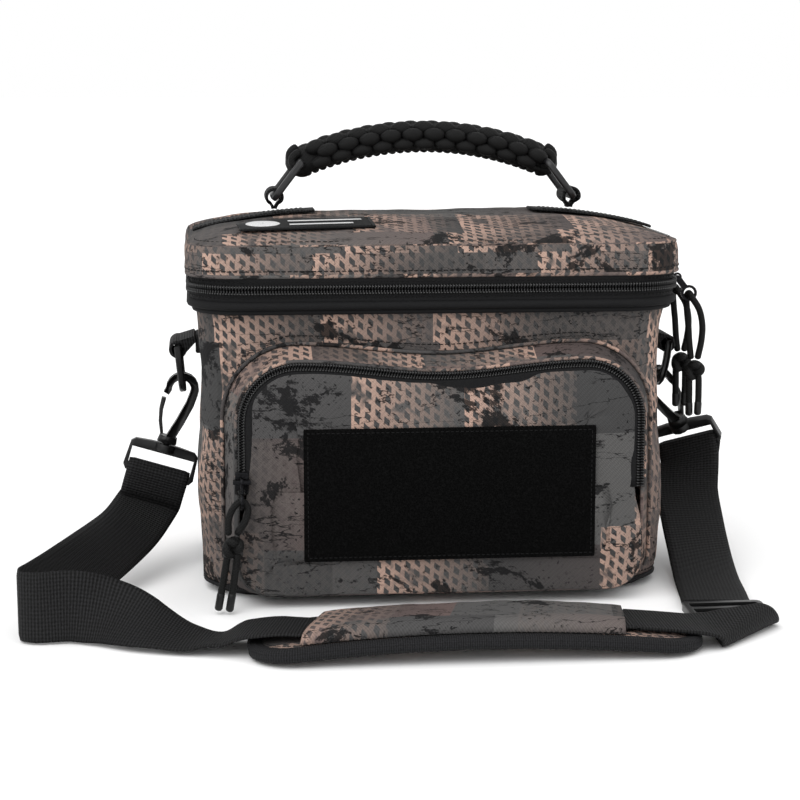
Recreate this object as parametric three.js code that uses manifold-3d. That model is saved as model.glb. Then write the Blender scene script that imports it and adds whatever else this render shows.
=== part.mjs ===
// LiPo-safe carry bag: soft padded box with a zipped lid, a woven cord handle, a front pocket and a
// detachable shoulder strap. Millimetres, +Z up, the front faces -Y, origin at the centre of the flat base.
import * as THREE from "three";
import { mergeVertices } from "three/addons/utils/BufferGeometryUtils.js";
import Module from "manifold-3d";

const wasm = await Module();
wasm.setup();

// ---------------------------------------------------------------- driving dimensions

const GAP = 0.3; // clearance between pieces that touch on the real bag
const FABRIC = 1.6; // printed polyester with its backing
const FOAM = 5;
const LINING = 1.2; // woven glass-fibre fire lining
const TAPE = 1.2; // zip tape
const CORNER_STEPS = 6;

// Outline of the bag body at each height: half width, half depth.
const BODY_CORNER = 34;
const BODY_PROFILE = [
  { z: 0, halfWidth: 129, halfDepth: 80 },
  { z: 4, halfWidth: 133.5, halfDepth: 84.5 },
  { z: 14, halfWidth: 136, halfDepth: 87.5 },
  { z: 70, halfWidth: 137.5, halfDepth: 89 },
  { z: 122, halfWidth: 134, halfDepth: 87.5 },
  { z: 150, halfWidth: 136, halfDepth: 88 },
  { z: 168.5, halfWidth: 138, halfDepth: 89 },
];
const BASE_SEAM = 5.8; // the base panel turns up this far
const BODY_TOP = 168.5;
const BOARD = 2; // stiffening board in the base

// Closure: both zip tapes run round the front and the sides on this path.
const ZIP = { halfWidth: 141, halfDepth: 93, corner: 34, centreY: -2.5, backY: 50 };
const ZIP_Z = 180.1; // line where the two coil halves meet
const COIL_HEIGHT = 2.5; // one half of the coil
const COIL_THICK = 2.3;

// Lid: a shallow pillow-topped cap. Each step of the roof is an inset from the rim and a height.
const LID = { halfWidth: 143.5, halfDepth: 94, corner: 32, centreY: -2.5, bottom: 187.3 };
const LID_PROFILE = [
  { inset: 0, z: LID.bottom },
  { inset: -0.4, z: 196 },
  { inset: 0.3, z: 202.5 },
  { inset: 2.5, z: 205.6 },
  { inset: 9, z: 208 },
  { inset: 21, z: 210.8 },
  { inset: 37, z: 213.6 },
  { inset: 56, z: 216 },
  { inset: 78, z: 217.5 },
];

// Front pocket, drawn on the XZ plane and built out from the body's front.
const POCKET = {
  halfWidth: 116, bottom: 6.5, top: 141, corner: 34, footCorner: 20, backY: -89.8, frontY: -109.5,
};
const POCKET_DIP = 6; // the top edge sags in the middle
const POCKET_COIL = 1.9;
const PATCH = { x: 4, width: 166, bottom: 28, height: 76, thick: 1.8 };

// Handle: a woven grip on an arc, hung from a flat ring and a webbing loop at each end.
const GRIP = { radius: 191, topZ: 263.2, halfAngle: 24.4, width: 30, thick: 17.4 };
const NECK_X = 90;
const HANDLE_RING = { width: 38.4, length: 29.5, bar: 4.4, thick: 4 };

// Shoulder strap hardware.
const WEBBING = 38;
const WEBBING_THICK = 1.8;
const RING_BAR = { x: 149, z: 137 }; // straight bar of each D ring, inside its webbing tab
const RING_BOW = { x: 146.5, z: 111 }; // lowest point of its bow
const RING_THICK = 4.4;
const HOOK_DEPTH = 7;
const FRAME_DROP = 41; // from the ring's bow to the top of the strap frame

// Shoulder pad.
const PAD = { x: 7, y: -203, halfLength: 119, halfWidth: 31, corner: 24, thick: 7.6, rise: 7, lip: 8 };
const SLEEVE = { from: -70, to: 86, width: 45, floor: 6.8, height: 6.2, wall: 0.9 };

// Zip pulls.
const CORD = 4; // paracord diameter

// ---------------------------------------------------------------- finishes

const finish = (colour, roughness, metalness = 0) =>
  new THREE.MeshStandardMaterial({ color: colour, roughness, metalness });
const CAMO = finish(0x55504e, 0.9);
const WEB = finish(0x222222, 0.85);
const TAPES = finish(0x1d1d1d, 0.85);
const COIL = finish(0x2c2c2c, 0.45);
const PATCH_PILE = finish(0x0d0d0d, 1);
const PARACORD = finish(0x161616, 0.8);
const PLASTIC = finish(0x191919, 0.4);
const METAL = finish(0x2a2a2c, 0.35, 0.9);
const FOAM_GREY = finish(0x8a8d90, 0.95);
const BOARD_BLACK = finish(0x26282a, 0.6);
const SILVER_LINING = finish(0xa9abad, 0.6);

// ---------------------------------------------------------------- geometry helpers

const v3 = (x, y, z) => new THREE.Vector3(x, y, z);
const v2 = (x, y) => new THREE.Vector2(x, y);
const smooth = (t) => t * t * (3 - 2 * t);
const clamp01 = (t) => Math.min(1, Math.max(0, t));

// A closed body through rings of equal size. Each ring runs anticlockwise seen from the next one.
function loft(rings) {
  const size = rings[0].length;
  const positions = rings.flat().flatMap((p) => [p.x, p.y, p.z]);
  const index = [];
  for (let i = 0; i + 1 < rings.length; i++)
    for (let j = 0; j < size; j++) {
      const a = i * size + j;
      const b = i * size + ((j + 1) % size);
      index.push(a, b, b + size, a, b + size, a + size);
    }
  const last = (rings.length - 1) * size;
  for (let j = 1; j + 1 < size; j++) index.push(0, j + 1, j, last, last + j, last + j + 1);
  const geometry = new THREE.BufferGeometry();
  geometry.setAttribute("position", new THREE.Float32BufferAttribute(positions, 3));
  geometry.setIndex(index);
  return geometry;
}

function solidOf(geometry) {
  const bare = geometry.clone();
  bare.deleteAttribute("normal");
  bare.deleteAttribute("uv");
  const merged = mergeVertices(bare, 1e-4);
  const vertProperties = new Float32Array(merged.attributes.position.array);
  const triVerts = new Uint32Array(merged.index.array);
  return new wasm.Manifold(new wasm.Mesh({ numProp: 3, vertProperties, triVerts }));
}

function geometryOf(solid) {
  const mesh = solid.getMesh();
  const geometry = new THREE.BufferGeometry();
  geometry.setAttribute("position", new THREE.BufferAttribute(mesh.vertProperties, 3));
  geometry.setIndex(new THREE.BufferAttribute(mesh.triVerts, 1));
  return geometry;
}

// The first geometry with every other one cut out of it.
function cut(geometry, ...tools) {
  return geometryOf(tools.reduce((solid, tool) => solid.subtract(solidOf(tool)), solidOf(geometry)));
}

function join(...geometries) {
  return geometryOf(geometries.map(solidOf).reduce((solid, other) => solid.add(other)));
}

// A quarter circle of points about (cx, cy), starting at the angle `from` in quarter turns.
function quarter(cx, cy, radius, from, steps = CORNER_STEPS) {
  return Array.from({ length: steps + 1 }, (_, i) => {
    const angle = ((from + i / steps) * Math.PI) / 2;
    return v2(cx + radius * Math.cos(angle), cy + radius * Math.sin(angle));
  });
}

// A rounded rectangle, anticlockwise from its right side.
function roundedBox(halfWidth, halfDepth, corner, centreY = 0, steps = CORNER_STEPS) {
  const x = halfWidth - corner;
  const y = halfDepth - corner;
  return [
    ...quarter(x, centreY + y, corner, 0, steps),
    ...quarter(-x, centreY + y, corner, 1, steps),
    ...quarter(-x, centreY - y, corner, 2, steps),
    ...quarter(x, centreY - y, corner, 3, steps),
  ];
}

const atHeight = (outline, z) => outline.map((p) => v3(p.x, p.y, z));

// An outline on the XY plane, raised from z over a height.
function raised(outline, z, height, holes = []) {
  const shape = new THREE.Shape(outline);
  shape.holes = holes.map((hole) => new THREE.Path(hole));
  return new THREE.ExtrudeGeometry(shape, { depth: height, bevelEnabled: false }).translate(0, 0, z);
}

// An outline on the XZ plane, given depth from backY towards the front.
function frontal(outline, backY, depth, holes = []) {
  return raised(outline, 0, depth, holes)
    .rotateX(Math.PI / 2)
    .translate(0, backY, 0);
}

// An outline given depth along Z with its edges rounded off by a bevel, centred on z = 0.
function softPlate(outline, thick, bevel, hole) {
  const inset = (points, distance) => offsetLoop(points, distance);
  const shape = new THREE.Shape(inset(outline, -bevel));
  if (hole) shape.holes = [new THREE.Path(inset(hole, bevel))];
  const depth = thick - 2 * bevel;
  return new THREE.ExtrudeGeometry(shape, {
    depth,
    bevelThickness: bevel,
    bevelSize: bevel,
    bevelSegments: 1,
    curveSegments: 1,
  }).translate(0, 0, -depth / 2);
}

// A closed anticlockwise outline moved outwards by a distance.
function offsetLoop(points, distance) {
  const count = points.length;
  return points.map((point, i) => {
    const before = points[(i + count - 1) % count];
    const after = points[(i + 1) % count];
    const a = point.clone().sub(before).normalize();
    const b = after.clone().sub(point).normalize();
    const normal = v2(a.y + b.y, -a.x - b.x).normalize();
    const reach = distance / Math.max(0.5, normal.x * a.y - normal.y * a.x);
    return v2(point.x + normal.x * reach, point.y + normal.y * reach);
  });
}

// A band of the given half widths along an open path on a plane.
function stroke(path, halfWidth) {
  const width = typeof halfWidth === "function" ? halfWidth : () => halfWidth;
  const side = (sign) =>
    path.map((point, i) => {
      const before = path[Math.max(0, i - 1)];
      const after = path[Math.min(path.length - 1, i + 1)];
      const along = after.clone().sub(before).normalize();
      const reach = sign * width(i / (path.length - 1));
      return v2(point.x + along.y * reach, point.y - along.x * reach);
    });
  return [...side(1), ...side(-1).reverse()];
}

// A flat band along a path in space. Each station has a centre, a direction across, and the band is
// `width` wide and `thick` thick. `across` points may bend the band by returning their own place.
function ribbon(stations, width, thick) {
  const rings = stations.map((station, i) => {
    const before = stations[Math.max(0, i - 1)].at;
    const after = stations[Math.min(stations.length - 1, i + 1)].at;
    const along = after.clone().sub(before).normalize();
    const across = station.across.clone().addScaledVector(along, -station.across.dot(along)).normalize();
    const out = along.clone().cross(across);
    const corner = (w, t) =>
      station.at.clone().addScaledVector(across, (w * width) / 2).addScaledVector(out, (t * thick) / 2);
    return [corner(-1, -1), corner(1, -1), corner(1, 1), corner(-1, 1)];
  });
  return loft(rings);
}

// Hand-chosen stations, each [x, y, z, across x, across y, across z], rounded into a smooth run.
function smoothRun(rows, steps) {
  const centre = new THREE.CatmullRomCurve3(rows.map((r) => v3(r[0], r[1], r[2])), false, "centripetal");
  const across = new THREE.CatmullRomCurve3(rows.map((r) => v3(r[3], r[4], r[5])), false, "centripetal");
  return Array.from({ length: steps + 1 }, (_, i) => ({
    at: centre.getPoint(i / steps),
    across: across.getPoint(i / steps).normalize(),
  }));
}

// A round bar or cord through points in space.
function tube(points, diameter, steps, sides = 8) {
  const section = new THREE.Shape(
    Array.from({ length: sides }, (_, i) => {
      const angle = (2 * Math.PI * (i + 0.5)) / sides;
      return v2((Math.cos(angle) * diameter) / 2, (Math.sin(angle) * diameter) / 2);
    }),
  );
  const extrudePath = new THREE.CatmullRomCurve3(points, false, "centripetal");
  return new THREE.ExtrudeGeometry(section, { steps, extrudePath });
}

const box = (width, depth, height, x = 0, y = 0, z = 0) =>
  new THREE.BoxGeometry(width, depth, height).translate(x, y, z);

const bag = new THREE.Group();
function add(name, geometry, material) {
  const mesh = new THREE.Mesh(geometry, material);
  mesh.name = name;
  bag.add(mesh);
  return mesh;
}

// ---------------------------------------------------------------- bag body

// Half width and half depth of the body at a height, between the listed sections.
function bodySize(z) {
  const above = BODY_PROFILE.findIndex((row) => row.z >= z);
  const step = above < 0 ? BODY_PROFILE.length - 1 : Math.max(above, 1);
  const high = BODY_PROFILE[step];
  const low = BODY_PROFILE[step - 1];
  const t = (z - low.z) / (high.z - low.z);
  return {
    halfWidth: THREE.MathUtils.lerp(low.halfWidth, high.halfWidth, t),
    halfDepth: THREE.MathUtils.lerp(low.halfDepth, high.halfDepth, t),
  };
}

// The solid inside the body's outline, shrunk by an inset, between two heights.
function bodyCore(inset, from, to) {
  const rows = BODY_PROFILE.map((row) => row.z);
  const heights = [from, ...rows.filter((z) => z > from + 0.1 && z < to - 0.1), to];
  return loft(
    heights.map((z) => {
      const size = bodySize(z);
      return atHeight(roundedBox(size.halfWidth - inset, size.halfDepth - inset, BODY_CORNER - inset), z);
    }),
  );
}

function buildBody() {
  const foamOuter = FABRIC + GAP;
  const liningOuter = foamOuter + FOAM + GAP;
  const boardZ = FABRIC + GAP;
  const foamZ = boardZ + BOARD + GAP;
  const liningZ = foamZ + FOAM + GAP;
  const padTop = BODY_TOP - 2.2;

  add("base_panel", cut(bodyCore(0, 0, BASE_SEAM), bodyCore(FABRIC, FABRIC, BASE_SEAM + 1)), CAMO);
  const wallFrom = BASE_SEAM + GAP;
  const wall = (outer, inner, from, to) => cut(bodyCore(outer, from, to), bodyCore(inner, from - 1, to + 1));
  add("outer_shell", wall(0, FABRIC, wallFrom, BODY_TOP), CAMO);
  add("base_board", bodyCore(foamOuter + 4, boardZ, boardZ + BOARD), BOARD_BLACK);
  add("foam_walls", wall(foamOuter, foamOuter + FOAM, foamZ, padTop), FOAM_GREY);
  add("foam_base", bodyCore(foamOuter + FOAM + GAP, foamZ, foamZ + FOAM), FOAM_GREY);
  add(
    "fire_lining",
    cut(bodyCore(liningOuter, liningZ, padTop), bodyCore(liningOuter + LINING, liningZ + LINING, padTop + 1)),
    SILVER_LINING,
  );
  const rimZ = padTop + GAP;
  const rim = bodySize(BODY_TOP);
  const rimRing = (inset) => roundedBox(rim.halfWidth - inset, rim.halfDepth - inset, BODY_CORNER - inset);
  add("rim_binding", raised(rimRing(foamOuter), rimZ, 1.9, [rimRing(liningOuter + LINING + 1)]), TAPES);
}

// Open path round the left, front and right of the closure, offset outwards.
function zipPath(offset) {
  const { halfWidth, halfDepth, corner, centreY, backY } = ZIP;
  const x = halfWidth - corner;
  const y = centreY - halfDepth + corner;
  const radius = corner + offset;
  return [
    v2(-halfWidth - offset, backY),
    ...quarter(-x, y, radius, 2),
    ...quarter(x, y, radius, 3),
    v2(halfWidth + offset, backY),
  ];
}

const zipBand = (inner, outer, z, height) => raised([...zipPath(outer), ...zipPath(inner).reverse()], z, height);

// The closure's outline behind the zip's ends, where plain tape hinges the lid.
function hingeBand(z, height) {
  const { halfWidth, corner, backY } = ZIP;
  const backEdge = 91.2;
  const path = (offset) => [
    v2(halfWidth + offset, backY + GAP),
    ...quarter(halfWidth - corner, backEdge - corner, corner + offset, 0),
    ...quarter(-halfWidth + corner, backEdge - corner, corner + offset, 1),
    v2(-halfWidth - offset, backY + GAP),
  ];
  return raised([...path(0), ...path(-TAPE).reverse()], z, height);
}

function buildZipHalf(name, isLid) {
  const tapeZ = isLid ? ZIP_Z + GAP / 2 : BODY_TOP + GAP;
  const tapeTop = isLid ? LID.bottom - GAP : ZIP_Z - GAP / 2;
  const coilZ = isLid ? ZIP_Z + GAP / 2 : ZIP_Z - GAP / 2 - COIL_HEIGHT;
  add(`main_zip_${name}_tape`, zipBand(-TAPE, 0, tapeZ, tapeTop - tapeZ), TAPES);
  add(`main_zip_${name}_coil`, zipBand(GAP, COIL_THICK, coilZ, COIL_HEIGHT), COIL);
  const hingeZ = isLid ? 178.4 : BODY_TOP + GAP;
  const hingeTop = isLid ? LID.bottom - GAP : 178;
  add(`hinge_strip_${name}`, hingeBand(hingeZ, hingeTop - hingeZ), TAPES);
}

// ---------------------------------------------------------------- lid

// The lid's cap between two depths below its outer skin.
function lidCap(outer, inner, profile) {
  const skin = (inset, floor) => {
    const rows = [{ inset: 0, z: floor + inset }, ...profile.slice(1)];
    return loft(
      rows.map((row) => {
        const shrink = row.inset + inset;
        const corner = Math.max(2, LID.corner - shrink);
        const outline = roundedBox(LID.halfWidth - shrink, LID.halfDepth - shrink, corner, LID.centreY);
        return atHeight(outline, row.z - inset);
      }),
    );
  };
  return cut(skin(outer, LID.bottom), skin(inner, LID.bottom - 1));
}

// Height of the lid's roof above a point.
function roofHeight(x, y) {
  const inset = Math.min(LID.halfWidth - Math.abs(x), LID.halfDepth - Math.abs(y - LID.centreY));
  const above = LID_PROFILE.findIndex((row) => row.z > LID.bottom + 1 && row.inset >= inset);
  if (above < 0) return LID_PROFILE.at(-1).z;
  const high = LID_PROFILE[above];
  const low = LID_PROFILE[above - 1];
  return THREE.MathUtils.lerp(low.z, high.z, (inset - low.inset) / (high.inset - low.inset));
}

// A band laid on the roof along a straight line on the plan.
function roofBand(fromX, fromY, toX, toY, width, thick, steps) {
  const across = v3(-(toY - fromY), toX - fromX, 0).normalize();
  const lift = thick / 2 + GAP + 0.25;
  const stations = Array.from({ length: steps + 1 }, (_, i) => {
    const x = THREE.MathUtils.lerp(fromX, toX, i / steps);
    const y = THREE.MathUtils.lerp(fromY, toY, i / steps);
    return { at: v3(x, y, roofHeight(x, y) + lift), across };
  });
  return ribbon(stations, width, thick);
}

function buildLid() {
  const foamDepth = FABRIC + GAP;
  const liningDepth = foamDepth + 4 + GAP;
  const hidden = LID_PROFILE.filter((_, i) => i % 3 === 0 || i === LID_PROFILE.length - 1);
  add("lid_shell", lidCap(0, FABRIC, LID_PROFILE), CAMO);
  add("lid_foam", lidCap(foamDepth, foamDepth + 4, hidden), FOAM_GREY);
  add("lid_lining", lidCap(liningDepth, liningDepth + LINING, hidden), SILVER_LINING);
  for (const [side, sign] of [["left", -1], ["right", 1]])
    add(`handle_strip_${side}`, roofBand(sign * 66, 0, sign * 139, 0, 25, 1.6, 10), WEB);
  add("name_label", labelBand(), TAPES);
}

// A blank sewn label lying across the front slope of the roof.
function labelBand() {
  const rows = 4;
  const columns = 12;
  const halfLength = 39;
  const halfWidth = 12;
  const turn = THREE.MathUtils.degToRad(5);
  const centre = v2(-74, -62);
  const place = (u, w, lift) => {
    const x = centre.x + u * Math.cos(turn) - w * Math.sin(turn);
    const y = centre.y + u * Math.sin(turn) + w * Math.cos(turn);
    return v3(x, y, roofHeight(x, y) + lift);
  };
  const rings = Array.from({ length: columns + 1 }, (_, i) => {
    const u = THREE.MathUtils.lerp(-halfLength, halfLength, i / columns);
    const lerp = THREE.MathUtils.lerp;
    const across = Array.from({ length: rows + 1 }, (_, j) => lerp(-halfWidth, halfWidth, j / rows));
    return [...across.map((w) => place(u, w, 0.5)), ...across.toReversed().map((w) => place(u, w, 1.3))];
  });
  return loft(rings);
}

// ---------------------------------------------------------------- front pocket

// The pocket's outline on the XZ plane, anticlockwise, grown by an offset.
function pocketOutline(offset) {
  const { halfWidth, bottom, top, corner, footCorner } = POCKET;
  const dip = Array.from({ length: 7 }, (_, i) => {
    const t = (i + 1) / 8;
    return v2((halfWidth - corner) * (1 - 2 * t), top - POCKET_DIP * Math.sin(Math.PI * t) ** 2);
  });
  return offsetLoop(
    [
      ...quarter(halfWidth - corner, top - corner, corner, 0),
      ...dip,
      ...quarter(-halfWidth + corner, top - corner, corner, 1),
      ...quarter(-halfWidth + footCorner, bottom + footCorner, footCorner, 2),
      ...quarter(halfWidth - footCorner, bottom + footCorner, footCorner, 3),
    ],
    offset,
  );
}

// Only the part of the pocket's outline that the zip follows, from its right end to its left end.
const POCKET_ZIP_END = 67;
function pocketArch(offset) {
  const outline = pocketOutline(offset).filter((p) => p.y > POCKET_ZIP_END);
  const side = POCKET.halfWidth + offset;
  return [v2(side, POCKET_ZIP_END), ...outline, v2(-side, POCKET_ZIP_END)];
}

const archBand = (inner, outer, backY, depth) =>
  frontal([...pocketArch(outer), ...pocketArch(inner).reverse()], backY, depth);

function buildPocketBase() {
  const skirt = 7; // the gusset spreads where it is sewn to the body
  const layer = (offset, y) => pocketOutline(offset).map((p) => v3(p.x, y, Math.max(p.y, BASE_SEAM + 0.2)));
  const outer = loft([layer(skirt, POCKET.backY), layer(0, POCKET.frontY)]);
  const inner = loft([layer(skirt - FABRIC, POCKET.backY + 1), layer(-FABRIC, POCKET.frontY - 1)]);
  add("pocket_gusset", cut(outer, inner), CAMO);
  const tapeY = POCKET.frontY - GAP;
  add("pocket_zip_outer_tape", archBand(-2.2, 0, tapeY, TAPE), TAPES);
  add("pocket_zip_outer_coil", archBand(-2.2, -2.2 + POCKET_COIL, tapeY - TAPE - GAP, POCKET_COIL), COIL);
}

function buildPocketFlap() {
  const tapeY = POCKET.frontY - GAP;
  const coilInner = -2.5 - POCKET_COIL;
  add("pocket_zip_inner_tape", archBand(-12, -2.5, tapeY, TAPE), TAPES);
  add("pocket_zip_inner_coil", archBand(coilInner, -2.5, tapeY - TAPE - GAP, POCKET_COIL), COIL);
  const swell = 2.5; // the panel bulges forward in the middle
  const layer = (offset, y) => pocketOutline(offset).map((p) => v3(p.x, y, p.y));
  const front = tapeY - TAPE - GAP;
  const panel = loft([
    layer(-5.2, front),
    layer(-5.6, front - FABRIC * 0.6),
    layer(-16, front - FABRIC - swell * 0.6),
    layer(-34, front - FABRIC - swell),
  ]);
  add("pocket_panel", panel, CAMO);
  const patchBack = front - FABRIC - swell - GAP;
  const { x, width, bottom, height, thick } = PATCH;
  add("patch_panel", box(width, thick, height, x, patchBack - thick / 2, bottom + height / 2), PATCH_PILE);
}

// ---------------------------------------------------------------- handle

// A teardrop of webbing round a bar at (0, 0), its neck pointing down, with the bar's hole.
function loopOutline(radius, neckZ, neckHalf) {
  const around = Array.from({ length: 17 }, (_, i) => {
    const angle = THREE.MathUtils.degToRad(-40 + (260 * i) / 16);
    return v2(radius * Math.cos(angle), radius * Math.sin(angle));
  });
  return [v2(neckHalf, neckZ), ...around, v2(-neckHalf, neckZ)];
}

function buildHandle() {
  const arcZ = GRIP.topZ - GRIP.radius;
  const half = THREE.MathUtils.degToRad(GRIP.halfAngle);
  const gripEnd = v3(GRIP.radius * Math.sin(half), 0, arcZ + GRIP.radius * Math.cos(half));
  const endTaper = (t) => {
    const fromEnd = Math.min(t, 1 - t) / 0.09;
    return fromEnd < 1 ? 0.62 + 0.38 * Math.sqrt(1 - (1 - fromEnd) ** 2) : 1;
  };
  const rings = Array.from({ length: 25 }, (_, i) => {
    const t = i / 24;
    const angle = THREE.MathUtils.lerp(-half, half, t);
    const out = v3(Math.sin(angle), 0, Math.cos(angle));
    const centre = out.clone().multiplyScalar(GRIP.radius).add(v3(0, 0, arcZ));
    return Array.from({ length: 12 }, (_, j) => {
      const turn = (2 * Math.PI * j) / 12;
      const squash = endTaper(t);
      const y = (Math.sign(Math.cos(turn)) * Math.abs(Math.cos(turn)) ** 0.7 * GRIP.width * squash) / 2;
      const r = (Math.sign(Math.sin(turn)) * Math.abs(Math.sin(turn)) ** 0.7 * GRIP.thick * squash) / 2;
      return centre.clone().addScaledVector(out, r).add(v3(0, y, 0));
    });
  });
  const barHole = (sign) =>
    new THREE.CylinderGeometry(3.3, 3.3, 60, 10).translate(sign * (gripEnd.x - 4.5), 0, gripEnd.z + 1.6);
  add("handle_grip", cut(loft(rings), barHole(-1), barHole(1)), PARACORD);

  const { width, length, bar, thick } = HANDLE_RING;
  for (const [side, sign] of [["left", -1], ["right", 1]]) {
    const top = v3(sign * (gripEnd.x - 4.5), 0, gripEnd.z + 1.6);
    const foot = v3(sign * NECK_X, 0, 227.2);
    const lean = Math.atan2(top.x - foot.x, top.z - foot.z);
    const middle = top.clone().add(foot).multiplyScalar(0.5);
    const ring = softPlate(
      roundedBox(length / 2, width / 2, 5, 0, 3),
      thick,
      0.8,
      roundedBox(length / 2 - bar, width / 2 - bar, 1.6, 0, 3),
    );
    ring.rotateY(-Math.PI / 2 + lean).translate(middle.x, middle.y, middle.z);
    add(`handle_ring_${side}`, ring, PLASTIC);

    const neckZ = -7.6;
    const depth = 24;
    const loop = raised(loopOutline(5.6, neckZ, 1.2), 0, depth, [loopHole(3.6)])
      .rotateX(Math.PI / 2)
      .translate(0, depth / 2, 0);
    pinchNeck(loop, neckZ, 0.36);
    loop.translate(foot.x, 0, foot.z);
    add(`handle_loop_${side}`, loop, WEB);
  }
}

const loopHole = (radius) =>
  Array.from({ length: 12 }, (_, i) => {
    const angle = (-Math.PI * i) / 6;
    return v2(radius * Math.cos(angle), radius * Math.sin(angle));
  });

// Gathers a webbing loop's width towards its neck.
function pinchNeck(geometry, neckZ, narrowest) {
  const position = geometry.attributes.position;
  for (let i = 0; i < position.count; i++) {
    const rise = clamp01((position.getZ(i) - neckZ) / -neckZ);
    position.setY(i, position.getY(i) * THREE.MathUtils.lerp(narrowest, 1, rise));
  }
}

// ---------------------------------------------------------------- D rings and hooks

const RING_TILT = Math.atan2(RING_BAR.x - RING_BOW.x, RING_BAR.z - RING_BOW.z);

// A D: a straight bar on top and a round bow below, as a closed loop; y runs across, x is height.
function dOutline(halfWidth, top, bottom) {
  const bow = Array.from({ length: 13 }, (_, i) => {
    const angle = Math.PI * (i / 12);
    return v2(halfWidth * Math.cos(angle), -Math.sin(angle) * (top - bottom - 3) + top - 3);
  });
  return [v2(halfWidth, top), ...bow, v2(-halfWidth, top)].reverse();
}

function buildRing(side, sign) {
  const drop = Math.hypot(RING_BAR.x - RING_BOW.x, RING_BAR.z - RING_BOW.z);
  const half = 2.5; // half the bar's height
  const outer = dOutline(25, half, -drop - half);
  const inner = dOutline(20, -half, -drop + half);
  const ring = softPlate(outer, RING_THICK, 0.8, inner);
  ring.rotateX(Math.PI / 2).rotateZ(Math.PI / 2);
  ring.rotateY(-sign * -RING_TILT).translate(sign * RING_BAR.x, 0, RING_BAR.z);
  add(`d_ring_${side}`, ring, PLASTIC);

  const wallX = bodySize(145).halfWidth + GAP + 0.1;
  const loop = raised(loopOutline(5.4, -12.6, 1.6), 0, WEBBING, [loopHole(3.7)])
    .rotateX(Math.PI / 2)
    .translate(0, WEBBING / 2, 0);
  loop.rotateY(sign * THREE.MathUtils.degToRad(122)).translate(sign * RING_BAR.x, 0, RING_BAR.z);
  add(`side_tab_${side}`, cut(loop, box(40, 60, 60, sign * (wallX - 20), 0, 145)), WEB);
}

// A frame whose local +Z points up along a shank, with local Y as near as can be to a given direction.
function shankFrame(origin, down, towardsY) {
  const up = down.clone().normalize().negate();
  const y = towardsY.clone().addScaledVector(up, -towardsY.dot(up)).normalize();
  return new THREE.Matrix4().makeBasis(y.clone().cross(up), y, up).setPosition(origin);
}

const CROWN = 7.9; // radius of the crown's middle line

// Snap hook: crown over the ring, shank on the body side, sprung gate on the other side.
function hookShank() {
  const crown = Array.from({ length: 11 }, (_, i) => {
    const angle = THREE.MathUtils.degToRad(-10 + (205 * i) / 10);
    return v2(CROWN * Math.cos(angle), CROWN * Math.sin(angle) - 2);
  });
  const path = [v2(1.2, -33), v2(4.4, -22), v2(7.2, -10), ...crown, v2(-CROWN - 0.6, -7)];
  const width = (t) => 2.8 - 0.9 * t;
  const shank = raised(stroke(path, width), -HOOK_DEPTH / 2, HOOK_DEPTH).rotateX(Math.PI / 2);
  const collar = new THREE.CylinderGeometry(5.6, 6.2, 4.4, 12).rotateX(Math.PI / 2).translate(0, 0, -34.4);
  const stem = new THREE.CylinderGeometry(2.2, 2.2, 5, 10).rotateX(Math.PI / 2).translate(0, 0, -38);
  return join(shank, collar, stem);
}

function hookGate() {
  const path = [v2(-4.4, -31.8), v2(-7.4, -24), v2(-8.8, -17), v2(-9, -10)];
  return raised(stroke(path, (t) => 0.9 + 0.5 * t), -3, 6).rotateX(Math.PI / 2);
}

// Strap frame below the swivel: a slot for the webbing, with a socket for the stem.
const FRAME = { halfWidth: 22, height: 17.5, bar: 4.4, thick: 4.8 };
function strapFrame() {
  const { halfWidth, height, bar, thick } = FRAME;
  const top = -FRAME_DROP;
  const bottom = top - height;
  const slotHalf = WEBBING / 2 + 0.4;
  const outer = [
    v2(-halfWidth + 2, bottom), v2(halfWidth - 2, bottom), v2(halfWidth, bottom + 3),
    v2(halfWidth - 1, top + 0.2), v2(halfWidth - 3.5, top + 2.4), v2(8, top + 3.4),
    v2(-8, top + 3.4), v2(-halfWidth + 3.5, top + 2.4), v2(-halfWidth + 1, top + 0.2),
    v2(-halfWidth, bottom + 3),
  ];
  const slot = [
    v2(-slotHalf, bottom + bar), v2(-slotHalf, top - 2.6),
    v2(slotHalf, top - 2.6), v2(slotHalf, bottom + bar),
  ];
  const plate = raised(outer, -thick / 2, thick, [slot]).rotateX(Math.PI / 2);
  const socket = new THREE.CylinderGeometry(6.6, 6.6, 4.6, 12);
  socket.rotateX(Math.PI / 2).translate(0, 0, top + 1.2);
  const bore = new THREE.CylinderGeometry(2.6, 2.6, 5.2, 10);
  bore.rotateX(Math.PI / 2).translate(0, 0, top + 1.6);
  return cut(join(plate, socket), bore);
}

// The left hook hangs outwards; the stiff strap pushes the right one back and up. Each strap frame
// turns on its hook's swivel, so its slot stays level.
const LEFT_DOWN = v3(-0.3, 0, -1);
const RIGHT_DOWN = v3(0.46, 0.34, -0.77);
const bowPoint = (sign) => v3(sign * RING_BOW.x, 0, RING_BOW.z + 1.4);
const HOOKS = {
  left: {
    hook: shankFrame(bowPoint(-1), LEFT_DOWN, v3(0, 1, 0)),
    frame: shankFrame(bowPoint(-1), LEFT_DOWN, v3(0, 1, 0)),
  },
  right: {
    hook: shankFrame(bowPoint(1), RIGHT_DOWN, v3(0, -1, 0)),
    frame: shankFrame(bowPoint(1), RIGHT_DOWN, v3(-0.25, -0.86, -0.6)),
  },
};

function buildHook(side) {
  const { hook, frame } = HOOKS[side];
  add(`hook_${side}`, hookShank().applyMatrix4(hook), PLASTIC);
  add(`hook_gate_${side}`, hookGate().applyMatrix4(hook), METAL);
  add(`strap_frame_${side}`, strapFrame().applyMatrix4(frame), PLASTIC);
}

// ---------------------------------------------------------------- shoulder strap

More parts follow.
